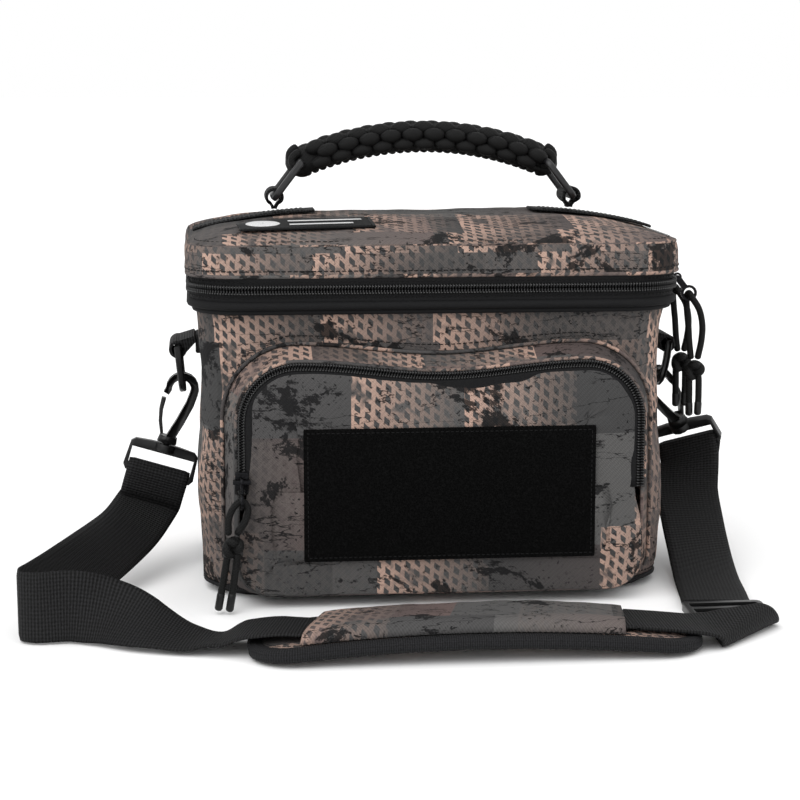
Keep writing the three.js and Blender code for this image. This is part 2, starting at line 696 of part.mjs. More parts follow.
const padArch = (x) => PAD.rise * Math.max(0, 1 - ((x - PAD.x) / PAD.halfLength) ** 2);
const strapOnPad = (x) => padArch(x) + SLEEVE.floor + SLEEVE.height / 2;

// Centre and cross direction of the bar at the foot of a strap frame.
function strapBar(side) {
  const { frame } = HOOKS[side];
  const at = v3(0, 0, -FRAME_DROP - FRAME.height + FRAME.bar / 2).applyMatrix4(frame);
  const across = v3(1, 0, 0).transformDirection(frame);
  return { at, across: across.x < 0 ? across.negate() : across };
}

const WRAP = 4.7; // centre of the bar to centre of the webbing that goes round it
const station = (at, across) => ({ at, across });

// Half a turn round a bar, from its -normal side over the far side to its +normal side.
function wrapRound(bar, leaving, turns = 6) {
  const normal = bar.across.clone().cross(leaving).normalize();
  return Array.from({ length: turns + 1 }, (_, i) => {
    const angle = (Math.PI * i) / turns;
    const at = bar.at.clone().addScaledVector(normal, -WRAP * Math.cos(angle));
    at.addScaledVector(leaving, -WRAP * Math.sin(angle));
    return station(at, bar.across);
  });
}

// From the short sewn end in front of the left bar, over the bar, down and out to the left, round the
// turn that stands on the floor, and flat up to the pad's sleeve.
const LEFT_ROUTE = [
  [-178, -22, 31, 0.86, -0.2, -0.47],
  [-190, -54, 26, 0.72, -0.28, -0.64],
  [-204, -90, 22.4, 0.48, -0.22, -0.85],
  [-218, -124, 20.6, 0.24, -0.1, -0.97],
  [-229, -150, 20.2, 0.08, -0.03, -1],
  [-234, -162, 20.2, 0.02, 0, -1],
  [-233, -170.5, 20.2, 0, 0, -1],
  [-225, -174.5, 20.2, 0, -0.04, -1],
  [-205, -171, 19.8, 0, -0.2, -0.98],
  [-186, -171.5, 16.4, 0, -0.62, -0.78],
  [-164, -180, 10.2, 0, -0.9, -0.44],
  [-144, -186, 4.6, 0, -0.99, -0.12],
  [-128, -190, 5, 0, -0.99, 0.1],
  [-115, -194, 10.4, 0, -1, 0.03],
  [-98, -199, 13.4, 0, -1, 0],
  [-80, -203, 13.5, 0, -1, 0],
];
function leftRun() {
  const bar = strapBar("left");
  const leaving = LEFT_DOWN.clone().normalize();
  const wrap = wrapRound(bar, leaving);
  const normal = bar.across.clone().cross(leaving).normalize();
  const below = (drop, offset) => {
    const at = bar.at.clone().addScaledVector(leaving, drop).addScaledVector(normal, offset);
    return station(at, bar.across);
  };
  const shortEnd = [below(18, -1.6), below(11, -2.2), below(4.5, -3.9)];
  const leavingEnd = [below(4.5, 3.9), below(11, 1.8), below(18, 1)];
  const loop = [...shortEnd, ...wrap, ...leavingEnd];
  return [...loop, ...smoothRun(rowsAfter(loop.at(-1), LEFT_ROUTE), 54).slice(1), ...padRun()];
}

const rowsAfter = (first, rows) => [[...first.at.toArray(), ...first.across.toArray()], ...rows];

// Straight through the pad's sleeve, up to where the right-hand run takes over.
const HANDOVER_X = 95;
function padRun() {
  return Array.from({ length: 9 }, (_, i) => {
    const x = THREE.MathUtils.lerp(SLEEVE.from + 4, HANDOVER_X, i / 8);
    return station(v3(x, PAD.y, strapOnPad(x)), v3(0, -1, 0));
  });
}

// The diagonal fold: the strap comes from the pad along +X, turns under on a roll whose axis runs at
// 45 degrees, and goes on towards +Y on the floor. The roll opens towards its far end.
const FOLD = { x: 154, y: PAD.y, lower: 1.3, nearRadius: 2.2, farRadius: 7.4, from: -62, to: 40 };
function foldedPoint(s, w) {
  const past = (s - w) / Math.SQRT2; // beyond the fold line, on the strap laid flat
  const along = (s + w) / Math.SQRT2;
  const open = clamp01(0.5 + along / (WEBBING * Math.SQRT2));
  const radius = THREE.MathUtils.lerp(FOLD.nearRadius, FOLD.farRadius, open);
  const turn = clamp01((past + radius) / (Math.PI * radius)) * Math.PI;
  const rolled = radius * (Math.sin(turn) - 1);
  const reach = turn <= 0 ? past : turn >= Math.PI ? (Math.PI - 2) * radius - past : rolled;
  const z = FOLD.lower + radius * (1 + Math.cos(turn));
  return v3(FOLD.x + (along + reach) / Math.SQRT2, FOLD.y + (along - reach) / Math.SQRT2, z);
}

// Rows of points across the strap, from the pad round the fold and back over the floor.
const STRIP_COLUMNS = 4;
function foldRows() {
  const count = 34;
  return Array.from({ length: count + 1 }, (_, i) => {
    const s = THREE.MathUtils.lerp(FOLD.from, FOLD.to, i / count);
    const toPad = smooth(clamp01((-8 - s) / 24));
    return Array.from({ length: STRIP_COLUMNS + 1 }, (_, j) => {
      const point = foldedPoint(s, THREE.MathUtils.lerp(-WEBBING / 2, WEBBING / 2, j / STRIP_COLUMNS));
      point.z = THREE.MathUtils.lerp(point.z, strapOnPad(FOLD.x + Math.min(s, -30)), toPad);
      return point;
    });
  });
}

// A thin closed solid on a grid of points, half its thickness to each side.
function sheetSolid(rows, thick) {
  const rings = rows.map((row, i) => {
    const before = rows[Math.max(0, i - 1)];
    const after = rows[Math.min(rows.length - 1, i + 1)];
    const offset = row.map((_, j) => {
      const along = after[j].clone().sub(before[j]);
      const across = row[Math.min(row.length - 1, j + 1)].clone().sub(row[Math.max(0, j - 1)]);
      return along.cross(across).setLength(thick / 2);
    });
    const under = row.map((p, j) => p.clone().sub(offset[j]));
    const over = row.map((p, j) => p.clone().add(offset[j]));
    return [...under, ...over.reverse()];
  });
  return loft(rings);
}

// Middle line between the two layers that run from the fold to the right hook.
const RIGHT_ROUTE = [
  [154, -172, 2.9, 1, 0, 0],
  [154, -138, 2.9, 1, 0, 0],
  [157, -114, 3.4, 1, 0, 0],
  [160, -86, 6, 0.99, 0, -0.04],
  [163, -57, 13.4, 0.98, -0.03, -0.08],
  [165, -28, 27.5, 0.98, -0.1, -0.06],
  [167, -4, 43, 0.94, -0.22, 0.05],
];
const LAYER_GAP = 1.55; // middle line to the centre of each layer
const RETURN_FROM = 6; // step of the run where the second layer starts, past the adjuster
function layer(run, side) {
  return run.map((s, i) => {
    const along = run[Math.min(run.length - 1, i + 1)].at.clone().sub(run[Math.max(0, i - 1)].at);
    const normal = s.across.clone().cross(along).normalize();
    return station(s.at.clone().addScaledVector(normal, side * LAYER_GAP), s.across);
  });
}

function buildStrap() {
  const left = ribbon(leftRun(), WEBBING, WEBBING_THICK);
  const fold = sheetSolid(foldRows(), WEBBING_THICK);
  const bar = strapBar("right");
  const last = RIGHT_ROUTE.at(-1);
  const leaving = v3(last[0], last[1], last[2]).sub(bar.at);
  leaving.addScaledVector(bar.across, -leaving.dot(bar.across)).normalize();
  const wrap = wrapRound(bar, leaving).reverse();
  const belowBar = bar.at.clone().addScaledVector(leaving, 11);
  const route = [...RIGHT_ROUTE, [...belowBar.toArray(), ...bar.across.toArray()]];
  const run = smoothRun(route, 40);
  const up = layer(run, -1);
  const rising = [...up, ...wrap.slice(0, 4)];
  add("shoulder_strap", join(left, fold, ribbon(rising, WEBBING, WEBBING_THICK)), WEB);
  const down = layer(run.slice(RETURN_FROM), 1).reverse();
  const meet = wrap[3].at.clone().lerp(wrap[4].at, 0.45);
  const falling = [station(meet, bar.across), ...wrap.slice(4), ...down];
  add("strap_return", ribbon(falling, WEBBING, WEBBING_THICK), WEB);
  add("strap_adjuster", adjuster(), PLASTIC);
}

// Three-bar slide that locks the strap's length, lying on the strap just before the fold.
function adjuster() {
  const half = WEBBING / 2 + 3.6;
  const barHalf = 2.2;
  const pitch = 12;
  const slots = [-1, 1].map((side) => roundedBox(half - 3.2, pitch / 2 - barHalf, 1, (side * pitch) / 2, 2));
  const outline = roundedBox(half, pitch + barHalf, 3.5, 0, 3);
  const plate = raised(outline, 0, 4.4, slots.map((slot) => slot.reverse()));
  return plate.translate(FOLD.x, -158, 2.7);
}

// ---------------------------------------------------------------- shoulder pad

// The pad's outline grown by an offset, between two levels, bent along its arch.
function padBody(offset, from, to) {
  const length = PAD.halfLength + offset;
  const corner = PAD.corner + offset;
  const straight = length - corner;
  const ends = Array.from({ length: 5 }, (_, i) => straight + corner * Math.sin((Math.PI / 2) * (i / 4)));
  const middle = Array.from({ length: 7 }, (_, i) => THREE.MathUtils.lerp(-straight, straight, (i + 1) / 8));
  const stations = [...ends.toReversed().map((x) => -x), ...middle, ...ends];
  return loft(
    stations.map((x) => {
      const past = Math.max(0, Math.abs(x) - straight);
      const half = PAD.halfWidth - PAD.corner + Math.sqrt(Math.max(0, corner ** 2 - past ** 2));
      const rise = padArch(PAD.x + x);
      const corner3 = (side, z) => v3(PAD.x + x, PAD.y + side * half, z + rise);
      return [corner3(-1, from), corner3(1, from), corner3(1, to), corner3(-1, to)];
    }),
  );
}

function buildPad() {
  const { thick, lip } = PAD;
  const tape = 1;
  add("pad_cushion", padBody(-GAP, tape + GAP, thick - tape - GAP), CAMO);
  const channel = padBody(0, tape, thick - tape);
  add("pad_binding", cut(padBody(tape, 0.1, thick), channel, padBody(-lip, -1, thick + 1)), TAPES);
  const { from, to, width, floor, height, wall } = SLEEVE;
  const along = Array.from({ length: 11 }, (_, i) => THREE.MathUtils.lerp(from, to, i / 10));
  const level = floor + height / 2;
  const band = (wide, tall, reach) =>
    ribbon(
      along.map((x) => {
        const stretched = (x - PAD.x) * reach + PAD.x;
        return station(v3(stretched, PAD.y, padArch(x) + level), v3(0, -1, 0));
      }),
      wide,
      tall,
    );
  add("pad_sleeve", cut(band(width, height, 1), band(width - 2 * wall, height - 2 * wall, 1.02)), CAMO);
}

// ---------------------------------------------------------------- zip sliders and cord pulls

const BRIDGE_REACH = 5.4; // from the coil's face to the middle of the slider's bridge

// A slider's plate and bridge about its own origin: the plate lies on the coil, facing +X, and it
// travels along Y.
function sliderBody(length, height) {
  const plate = box(2.2, length, height, 1.1);
  const posts = [-1, 1].map((side) => box(4.2, 1.6, 2.4, 4, side * 4.2));
  return join(plate, ...posts, box(1.6, 10, 2.4, BRIDGE_REACH));
}

// A flat puller in the XZ plane: an eye on the slider's bridge and an eye for the cord.
function pullerPlate(from, to) {
  const eye = (centre, radius) =>
    new THREE.CylinderGeometry(radius, radius, 1.6, 14).translate(centre.x, 0, centre.y);
  const link = raised(stroke([from, to], 1.9), -0.8, 1.6).rotateX(Math.PI / 2);
  const hole = (centre, radius) =>
    new THREE.CylinderGeometry(radius, radius, 4, 12).translate(centre.x, 0, centre.y);
  return cut(join(eye(from, 2.8), eye(to, 4.9), link), hole(from, 1.6), hole(to, 3.3));
}

// A knot with its two cord ends below.
function knotWithTails(centre, tails) {
  const knot = new THREE.SphereGeometry(7.2, 10, 7).scale(1, 0.82, 0.95).translate(...centre.toArray());
  const ends = tails.map((points) => tube(points, CORD + 0.6, 4));
  return join(knot, ...ends);
}

// Main pulls: both hang clear of the strap's tab on the bag's right side.
const MAIN_SLIDER_X = ZIP.halfWidth + COIL_THICK + GAP;
const MAIN_PULL = [
  [162.6, 0, 131.4],
  [164.4, -0.6, 141],
  [164.6, -1.8, 151],
  [162, -3.4, 161],
  [157.6, -3, 168],
  [156.4, 0, 170.4],
  [155.8, 3, 168],
  [156.2, 3.4, 160],
  [157, 2, 150],
  [157.4, 0.8, 141],
  [158.4, 0, 131.4],
];
function buildMainSlider(name, y) {
  const slider = sliderBody(12, 8.4).translate(MAIN_SLIDER_X, y, ZIP_Z);
  add(`zip_slider_${name}`, slider, METAL);
  const puller = pullerPlate(v2(MAIN_SLIDER_X + BRIDGE_REACH, ZIP_Z), v2(156.4, 170.4)).translate(0, y, 0);
  add(`zip_puller_${name}`, puller, METAL);
  const at = (p) => v3(p[0], p[1] + y, p[2]);
  add(`pull_cord_${name}`, tube(MAIN_PULL.map(at), CORD, 30), PARACORD);
  const tails = [
    [[158.2, 0, 122], [157.8, 0, 110], [158.2, 1, 97]],
    [[162.8, 0, 122], [163.6, 0, 110], [163, -1, 97.6]],
  ];
  add(`pull_knot_${name}`, knotWithTails(at([160.5, 0, 124]), tails.map((t) => t.map(at))), PARACORD);
}

// The pocket's slider sits at the left foot of the arch and its pull hangs to the floor.
const POCKET_SLIDER = { x: -113.7, z: 75 };
const POCKET_PULL = [
  [-121.6, -121.4, 46.6],
  [-121.4, -121, 54],
  [-118.6, -120.6, 61],
  [-113.7, -120.2, 64.6],
  [-110.6, -120.4, 60.6],
  [-111.8, -121, 54],
  [-116.6, -121.4, 46.6],
];
function buildPocketSlider() {
  const { x, z } = POCKET_SLIDER;
  const front = POCKET.frontY - GAP - TAPE - GAP - POCKET_COIL - GAP;
  const body = sliderBody(7.4, 10).rotateZ(-Math.PI / 2).translate(x, front, z);
  add("pocket_slider", body, METAL);
  const puller = pullerPlate(v2(BRIDGE_REACH, 0), v2(120.6 + front, 64.4 - z));
  puller.rotateZ(-Math.PI / 2).translate(x, front, z);
  add("pocket_puller", puller, METAL);
  const at = (p) => v3(...p);
  add("pull_cord_pocket", tube(POCKET_PULL.map(at), CORD, 18), PARACORD);
  const tails = [
    [[-121.4, -121.6, 36], [-124.6, -121, 20], [-127.6, -120, 3.4]],
    [[-117.2, -121.6, 36], [-118.6, -121.4, 20], [-121.4, -121, 2.8]],
  ];
  add("pull_knot_pocket", knotWithTails(v3(-119, -121.6, 39), tails.map((t) => t.map(at))), PARACORD);
}

// ---------------------------------------------------------------- assembly

buildBody();
buildZipHalf("lower", false);
buildZipHalf("upper", true);
buildLid();
buildPocketBase();
buildPocketFlap();
buildHandle();
for (const [side, sign] of [["left", -1], ["right", 1]]) {
  buildRing(side, sign);
  buildHook(side);
}
buildStrap();
buildPad();
buildMainSlider("front", -42);
buildMainSlider("rear", -6);
buildPocketSlider();

export default bag;
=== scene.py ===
"""A soft, fire-lined battery bag with a woven carry handle, a front pocket and a padded shoulder strap."""

import logging
import math
from dataclasses import dataclass
from enum import Enum
from typing import Callable, Iterable, Sequence

import bpy
from mathutils import Matrix, Vector, noise


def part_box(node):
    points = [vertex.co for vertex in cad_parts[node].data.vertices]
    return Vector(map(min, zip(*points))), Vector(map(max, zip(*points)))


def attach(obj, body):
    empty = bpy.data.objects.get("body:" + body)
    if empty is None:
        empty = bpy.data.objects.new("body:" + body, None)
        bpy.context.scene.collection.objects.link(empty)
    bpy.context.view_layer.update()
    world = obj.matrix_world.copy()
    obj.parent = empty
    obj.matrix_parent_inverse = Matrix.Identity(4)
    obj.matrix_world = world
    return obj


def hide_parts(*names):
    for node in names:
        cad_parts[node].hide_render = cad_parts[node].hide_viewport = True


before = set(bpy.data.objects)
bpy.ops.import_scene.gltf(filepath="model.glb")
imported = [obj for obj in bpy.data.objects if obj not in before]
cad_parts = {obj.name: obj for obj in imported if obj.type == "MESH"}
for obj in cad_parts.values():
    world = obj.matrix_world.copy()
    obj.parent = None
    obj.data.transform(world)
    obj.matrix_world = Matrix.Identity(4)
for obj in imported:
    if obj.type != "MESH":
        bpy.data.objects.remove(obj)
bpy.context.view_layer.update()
LOG = logging.getLogger("battery_bag")
MM = 0.001
Row = list[Vector]
Station = tuple[Vector, Vector]
# rows of a cord's round end: how far out, as a share of its radius, and how wide, as a share of its width
END_ROWS = ((0.6, 0.25), (0.4, 0.75))
# how much smaller the shown D rings and hooks are than the solid ones, on every face, in millimetres
RING_DRAWN_IN = 0.15
HOOK_DRAWN_IN = 0.12


class Side(Enum):
    """The bag's left and right side, as seen from the front, with the sign of X there."""

    LEFT = -1
    RIGHT = 1

    @property
    def word(self) -> str:
        """The side's name as the bodies and nodes spell it."""
        return self.name.lower()


class ZipHalf(Enum):
    """The two halves of a coil zip."""

    LOWER = -1
    UPPER = 1


# ---------------------------------------------------------------- materials


def linear(code: str) -> tuple[float, float, float, float]:
    """Turns an sRGB hex colour into linear light.

    Args:
        code: the colour as six hex digits.

    Returns:
        Red, green, blue and an alpha of 1.
    """
    channels = [int(code[i : i + 2], 16) / 255 for i in (0, 2, 4)]
    bent = [c / 12.92 if c <= 0.04045 else ((c + 0.055) / 1.055) ** 2.4 for c in channels]
    return (bent[0], bent[1], bent[2], 1.0)


def wire(tree: bpy.types.NodeTree, kind: str, inputs: dict | None = None, out: int | str = 0, **settings):
    """Adds a node with its settings and links.

    Args:
        tree: the node tree it goes into.
        kind: the node's type.
        inputs: input name or number to a value or an output socket.
        out: the output to hand back.
        **settings: the node's own settings.

    Returns:
        The chosen output socket.
    """
    node = tree.nodes.new(kind)
    for key, value in settings.items():
        setattr(node, key, value)
    for key, value in (inputs or {}).items():
        if isinstance(value, bpy.types.NodeSocket):
            tree.links.new(value, node.inputs[key])
        else:
            node.inputs[key].default_value = value
    return node.outputs[out]


def ramp(tree: bpy.types.NodeTree, factor, stops: Sequence[tuple[float, str]], soft: bool = True):
    """Adds a colour ramp.

    Args:
        tree: the node tree it goes into.
        factor: the socket that drives it.
        stops: place and sRGB hex colour of each stop.
        soft: eases between stops, where False gives straight runs.

    Returns:
        The ramp's colour socket.
    """
    socket = wire(tree, "ShaderNodeValToRGB", {"Fac": factor})
    band = socket.node.color_ramp
    band.interpolation = "EASE" if soft else "LINEAR"
    while len(band.elements) < len(stops):
        band.elements.new(0.5)
    for element, (place, code) in zip(band.elements, stops):
        element.position = place
        element.color = linear(code)
    return socket


def blank(name: str) -> tuple[bpy.types.Material, bpy.types.NodeTree, bpy.types.Node]:
    """Makes a material that holds only its principled shader.

    Args:
        name: the material's name.

    Returns:
        The material, its tree and its principled node.
    """
    material = bpy.data.materials.new(name)
    material.use_nodes = True
    tree = material.node_tree
    return material, tree, tree.nodes["Principled BSDF"]


def finish_shader(tree: bpy.types.NodeTree, shader: bpy.types.Node, links: dict, values: dict) -> None:
    """Sets a principled shader's fixed values and links its textured ones.

    Args:
        tree: the material's tree.
        shader: its principled node.
        links: input name to output socket.
        values: input name to a fixed value.
    """
    for key, value in values.items():
        shader.inputs[key].default_value = value
    for key, socket in links.items():
        tree.links.new(socket, shader.inputs[key])


@dataclass(frozen=True)
class PrintedPolyester:
    """Printed 600D polyester: a matt twill with a worn diamond lattice in tan over blocks of grey."""

    name: str = "printed_polyester_twill"
    thread_mm: float = 1.5  # real twill ribs are 0.6 mm apart, drawn coarser to show
    diamond_wide_mm: float = 5.6
    diamond_tall_mm: float = 6.6
    depth: float = 0.69

    def material(self) -> bpy.types.Material:
        """Builds the print from the piece's own cloth map, which is in metres."""
        made, tree, shader = blank(self.name)
        cloth = wire(tree, "ShaderNodeUVMap", uv_map="cloth")
        mm = wire(tree, "ShaderNodeVectorMath", {0: cloth, "Scale": 1000.0}, operation="SCALE")
        wobble = wire(tree, "ShaderNodeTexNoise", {"Vector": mm, "Scale": 0.12, "Detail": 2.0}, out="Color")
        centred = wire(tree, "ShaderNodeVectorMath", {0: wobble, 1: (0.5, 0.5, 0.5)}, operation="SUBTRACT")
        pushed = wire(tree, "ShaderNodeVectorMath", {0: centred, "Scale": 2.2}, operation="SCALE")
        bent = wire(tree, "ShaderNodeVectorMath", {0: mm, 1: pushed}, operation="ADD")

        def calc(operation: str, a, b=0.0, c=0.0):
            """One step of arithmetic on numbers or sockets."""
            return wire(tree, "ShaderNodeMath", {0: a, 1: b, 2: c}, operation=operation)

        def split(vector):
            """The first two parts of a vector."""
            socket = wire(tree, "ShaderNodeSeparateXYZ", {"Vector": vector})
            return socket, socket.node.outputs[1]

        def blocks(wide: float, tall: float, seed: float):
            """Brick-like blocks: how far along each one a point is, and its two random numbers."""
            u, v = split(mm)
            row = calc("FLOOR", calc("DIVIDE", calc("ADD", v, seed * 7.3), tall))
            place = calc("ADD", row, seed)
            shift = wire(tree, "ShaderNodeTexWhiteNoise", {"W": place}, noise_dimensions="1D")
            across = calc("ADD", calc("DIVIDE", u, wide), calc("MULTIPLY", shift, 5.0))
            cell = calc("FLOOR", across)
            key = wire(tree, "ShaderNodeCombineXYZ", {"X": cell, "Y": row, "Z": seed})
            value = wire(tree, "ShaderNodeTexWhiteNoise", {"Vector": key}, noise_dimensions="3D")
            return calc("FRACT", across), value, split(value.node.outputs["Color"])[1]

        def mask(value, low: float, high: float):
            """A soft step from 0 at low to 1 at high."""
            inputs = {"Value": value, "From Min": low, "From Max": high}
            return wire(tree, "ShaderNodeMapRange", inputs, interpolation_type="SMOOTHSTEP")

        def cloud(scale: tuple[float, float, float], turn: float, detail: float, rough: float):
            """Fractal noise on the cloth, stretched by a scale per millimetre and turned."""
            place = {"Vector": mm, "Rotation": (0.0, 0.0, turn), "Scale": scale}
            moved = wire(tree, "ShaderNodeMapping", place)
            inputs = {"Vector": moved, "Scale": 1.0, "Detail": detail, "Roughness": rough, "Distortion": 0.35}
            return wire(tree, "ShaderNodeTexNoise", inputs)

        def mix(factor, a, b):
            """Blends two colours."""
            # inputs 0, 6 and 7 are the factor and the two colours, and output 2 is the blend
            return wire(tree, "ShaderNodeMix", {0: factor, 6: a, 7: b}, out=2, data_type="RGBA")

        along_a, pick_a, second_a = blocks(64.0, 52.0, 1.0)
        along_b, pick_b, second_b = blocks(83.0, 64.0, 4.0)
        fade = calc("POWER", calc("SUBTRACT", 1.0, along_a), 0.65)
        tan = calc("MULTIPLY", mask(pick_a, 0.30, 0.34), fade)
        uneven = cloud((0.05, 0.05, 0.05), 0.3, 3.0, 0.6)
        tan = calc("MULTIPLY", tan, mask(uneven, 0.28, 0.48))
        greys = ramp(tree, pick_b, [(0.0, "464646"), (0.5, "545353"), (1.0, "676665")])
        mauve = calc("MULTIPLY", calc("MULTIPLY", mask(second_b, 0.4, 0.8), along_b), 0.75)
        ground = mix(mauve, greys, linear("7d6a66"))

        u, v = split(bent)
        steep = calc("DIVIDE", calc("MULTIPLY_ADD", v, -0.06, u), self.diamond_wide_mm)
        slanted = calc("DIVIDE", calc("MULTIPLY_ADD", u, 0.86, v), self.diamond_tall_mm)
        bars = []
        for place in (steep, slanted):
            bars.append(calc("MULTIPLY", calc("ABSOLUTE", calc("SUBTRACT", calc("FRACT", place), 0.5)), 2.0))
        lattice = mask(calc("MAXIMUM", bars[0], bars[1]), 0.50, 0.64)
        shown = calc("MAXIMUM", tan, calc("MULTIPLY", mask(second_a, 0.25, 0.5), 0.42))
        lines = mix(tan, linear("6f6864"), linear("d2b09f"))
        holes = mix(tan, ground, linear("4c4b4b"))
        printed = mix(calc("MULTIPLY", shown, 0.9), ground, mix(lattice, holes, lines))

        blotch = mask(cloud((0.021, 0.027, 0.025), 0.35, 12.0, 0.74), 0.56, 0.575)
        twig_noise = cloud((0.011, 0.05, 0.03), 0.75, 6.0, 0.6)
        twig_line = calc("ABSOLUTE", calc("SUBTRACT", twig_noise, 0.5))
        twig = calc("MULTIPLY", calc("SUBTRACT", 1.0, mask(twig_line, 0.003, 0.009)), mask(uneven, 0.42, 0.5))
        speck = mask(cloud((0.36, 0.36, 0.36), 0.0, 4.0, 0.65), 0.60, 0.63)
        speck = calc("MULTIPLY", speck, mask(cloud((0.03, 0.03, 0.03), 1.0, 2.0, 0.5), 0.42, 0.5))
        dark = calc("MAXIMUM", calc("MAXIMUM", blotch, twig), speck)
        inked = mix(calc("MULTIPLY", dark, 0.92), printed, linear("1c1c1d"))

        flat_u, flat_v = split(mm)
        phase = calc("MULTIPLY", calc("ADD", flat_u, flat_v), 2 * math.pi / self.thread_mm)
        rib = calc("SINE", phase)
        cross = calc("SINE", calc("MULTIPLY", calc("SUBTRACT", flat_u, flat_v), math.pi / self.thread_mm))
        twill = calc("ADD", calc("MULTIPLY", rib, 0.5), calc("MULTIPLY", cross, 0.3))
        # the twill's relief also scales the colour: painted highlight on the ribs' crests and painted shade
        # in their grooves
        value = calc("MULTIPLY", calc("ADD", 1.0, calc("MULTIPLY", twill, 0.2)), self.depth)
        woven = wire(tree, "ShaderNodeHueSaturation", {"Value": value, "Color": inked})
        bump = wire(tree, "ShaderNodeBump", {"Height": twill, "Strength": 0.35, "Distance": 0.0003})
        values = {"Roughness": 0.9, "Specular IOR Level": 0.12}
        finish_shader(tree, shader, {"Base Color": woven, "Normal": bump}, values)
        return made


@dataclass(frozen=True)
class RibbedWebbing:
    """Woven webbing or binding: fine cross ribs with a painted highlight along their tops."""

    name: str
    dark: str
    # the rib tops' colour, a painted highlight
    light: str
    rib_mm: float = 1.7
    roughness: float = 0.7

    def material(self) -> bpy.types.Material:
        """Builds ribs on the piece's cloth map, where u runs along the band."""
        made, tree, shader = blank(self.name)
        cloth = wire(tree, "ShaderNodeUVMap", uv_map="cloth")
        parts = wire(tree, "ShaderNodeSeparateXYZ", {"Vector": cloth})
        across = parts.node.outputs[1]
        turns = 2 * math.pi / (self.rib_mm * MM)

        def wave(place, rate: float):
            """A sine of a place on the cloth."""
            turned = wire(tree, "ShaderNodeMath", {0: place, 1: rate}, operation="MULTIPLY")
            return wire(tree, "ShaderNodeMath", {0: turned}, operation="SINE")

        rib = wave(parts, turns)
        fine = wave(across, turns * 0.8)
        woven = wire(tree, "ShaderNodeMath", {0: fine, 1: 0.45, 2: rib}, operation="MULTIPLY_ADD")
        grain = wire(tree, "ShaderNodeTexNoise", {"Vector": cloth, "Scale": 900.0, "Detail": 2.0})
        rib_highlight_and_grain = wire(tree, "ShaderNodeMath", {0: woven, 1: 0.28, 2: grain}, operation="MULTIPLY_ADD")
        # lighter where the ribs rise: a painted highlight along the rib tops, mixed with random grain
        colour = ramp(tree, rib_highlight_and_grain, [(0.15, self.dark), (0.95, self.light)], soft=False)
        bump = wire(tree, "ShaderNodeBump", {"Height": woven, "Strength": 0.5, "Distance": 0.0004})
        values = {"Roughness": self.roughness, "Specular IOR Level": 0.14}
        finish_shader(tree, shader, {"Base Color": colour, "Normal": bump}, values)
        return made


@dataclass(frozen=True)
class GrainedSolid:
    """A plain material with a fine grain on object coordinates, such as moulded plastic, tape or foam."""

    name: str
    dark: str
    light: str
    grain_mm: float
    roughness: float
    metallic: float = 0.0
    bump: float = 0.15
    detail: float = 3.0
    stretch: tuple[float, float, float] = (1.0, 1.0, 1.0)
    shine: float = 0.15

    def material(self) -> bpy.types.Material:
        """Builds the grain as colour, gloss and a shallow bump."""
        made, tree, shader = blank(self.name)
        place = wire(tree, "ShaderNodeTexCoord", out="Object")
        drawn = wire(tree, "ShaderNodeMapping", {"Vector": place, "Scale": self.stretch})
        scale = 1 / (self.grain_mm * MM)
        inputs = {"Vector": drawn, "Scale": scale, "Detail": self.detail, "Roughness": 0.6}
        grain = wire(tree, "ShaderNodeTexNoise", inputs)
        colour = ramp(tree, grain, [(0.3, self.dark), (0.7, self.light)], soft=False)
        spread = {"Value": grain, "To Min": self.roughness - 0.06, "To Max": self.roughness + 0.08}
        gloss = wire(tree, "ShaderNodeMapRange", spread)
        relief = {"Height": grain, "Strength": self.bump, "Distance": self.grain_mm * MM * 0.4}
        bump = wire(tree, "ShaderNodeBump", relief)
        values = {"Metallic": self.metallic, "Specular IOR Level": self.shine}
        finish_shader(tree, shader, {"Base Color": colour, "Roughness": gloss, "Normal": bump}, values)
        return made


@dataclass(frozen=True)
class BraidedCord:
    """Braided nylon sheath: a herringbone of small strands round the cord."""

    name: str = "braided_nylon_cord"
    strand_mm: float = 1.3  # the real strands are 0.8 mm, drawn coarser to show

    def material(self) -> bpy.types.Material:
        """Builds the braid from crossed bands on object coordinates."""
        made, tree, shader = blank(self.name)
        place = wire(tree, "ShaderNodeTexCoord", out="Object")
        bands = []
        for turn in (0.7, -0.7):
            turned = wire(tree, "ShaderNodeMapping", {"Vector": place, "Rotation": (0.5, turn, turn)})
            inputs = {"Vector": turned, "Scale": 0.35 / (self.strand_mm * MM), "Distortion": 0.6}
            bands.append(wire(tree, "ShaderNodeTexWave", inputs, out=1))
        crossed = wire(tree, "ShaderNodeMath", {0: bands[0], 1: bands[1]}, operation="MAXIMUM")
        # the strands' crests get the lighter colour and the gaps between them the darker: painted highlight
        # and painted shade
        colour = ramp(tree, crossed, [(0.2, "040404"), (1.0, "141414")], soft=False)
        bump = wire(tree, "ShaderNodeBump", {"Height": crossed, "Strength": 0.55, "Distance": 0.0005})
        values = {"Roughness": 0.6, "Specular IOR Level": 0.15}
        finish_shader(tree, shader, {"Base Color": colour, "Normal": bump}, values)
        return made


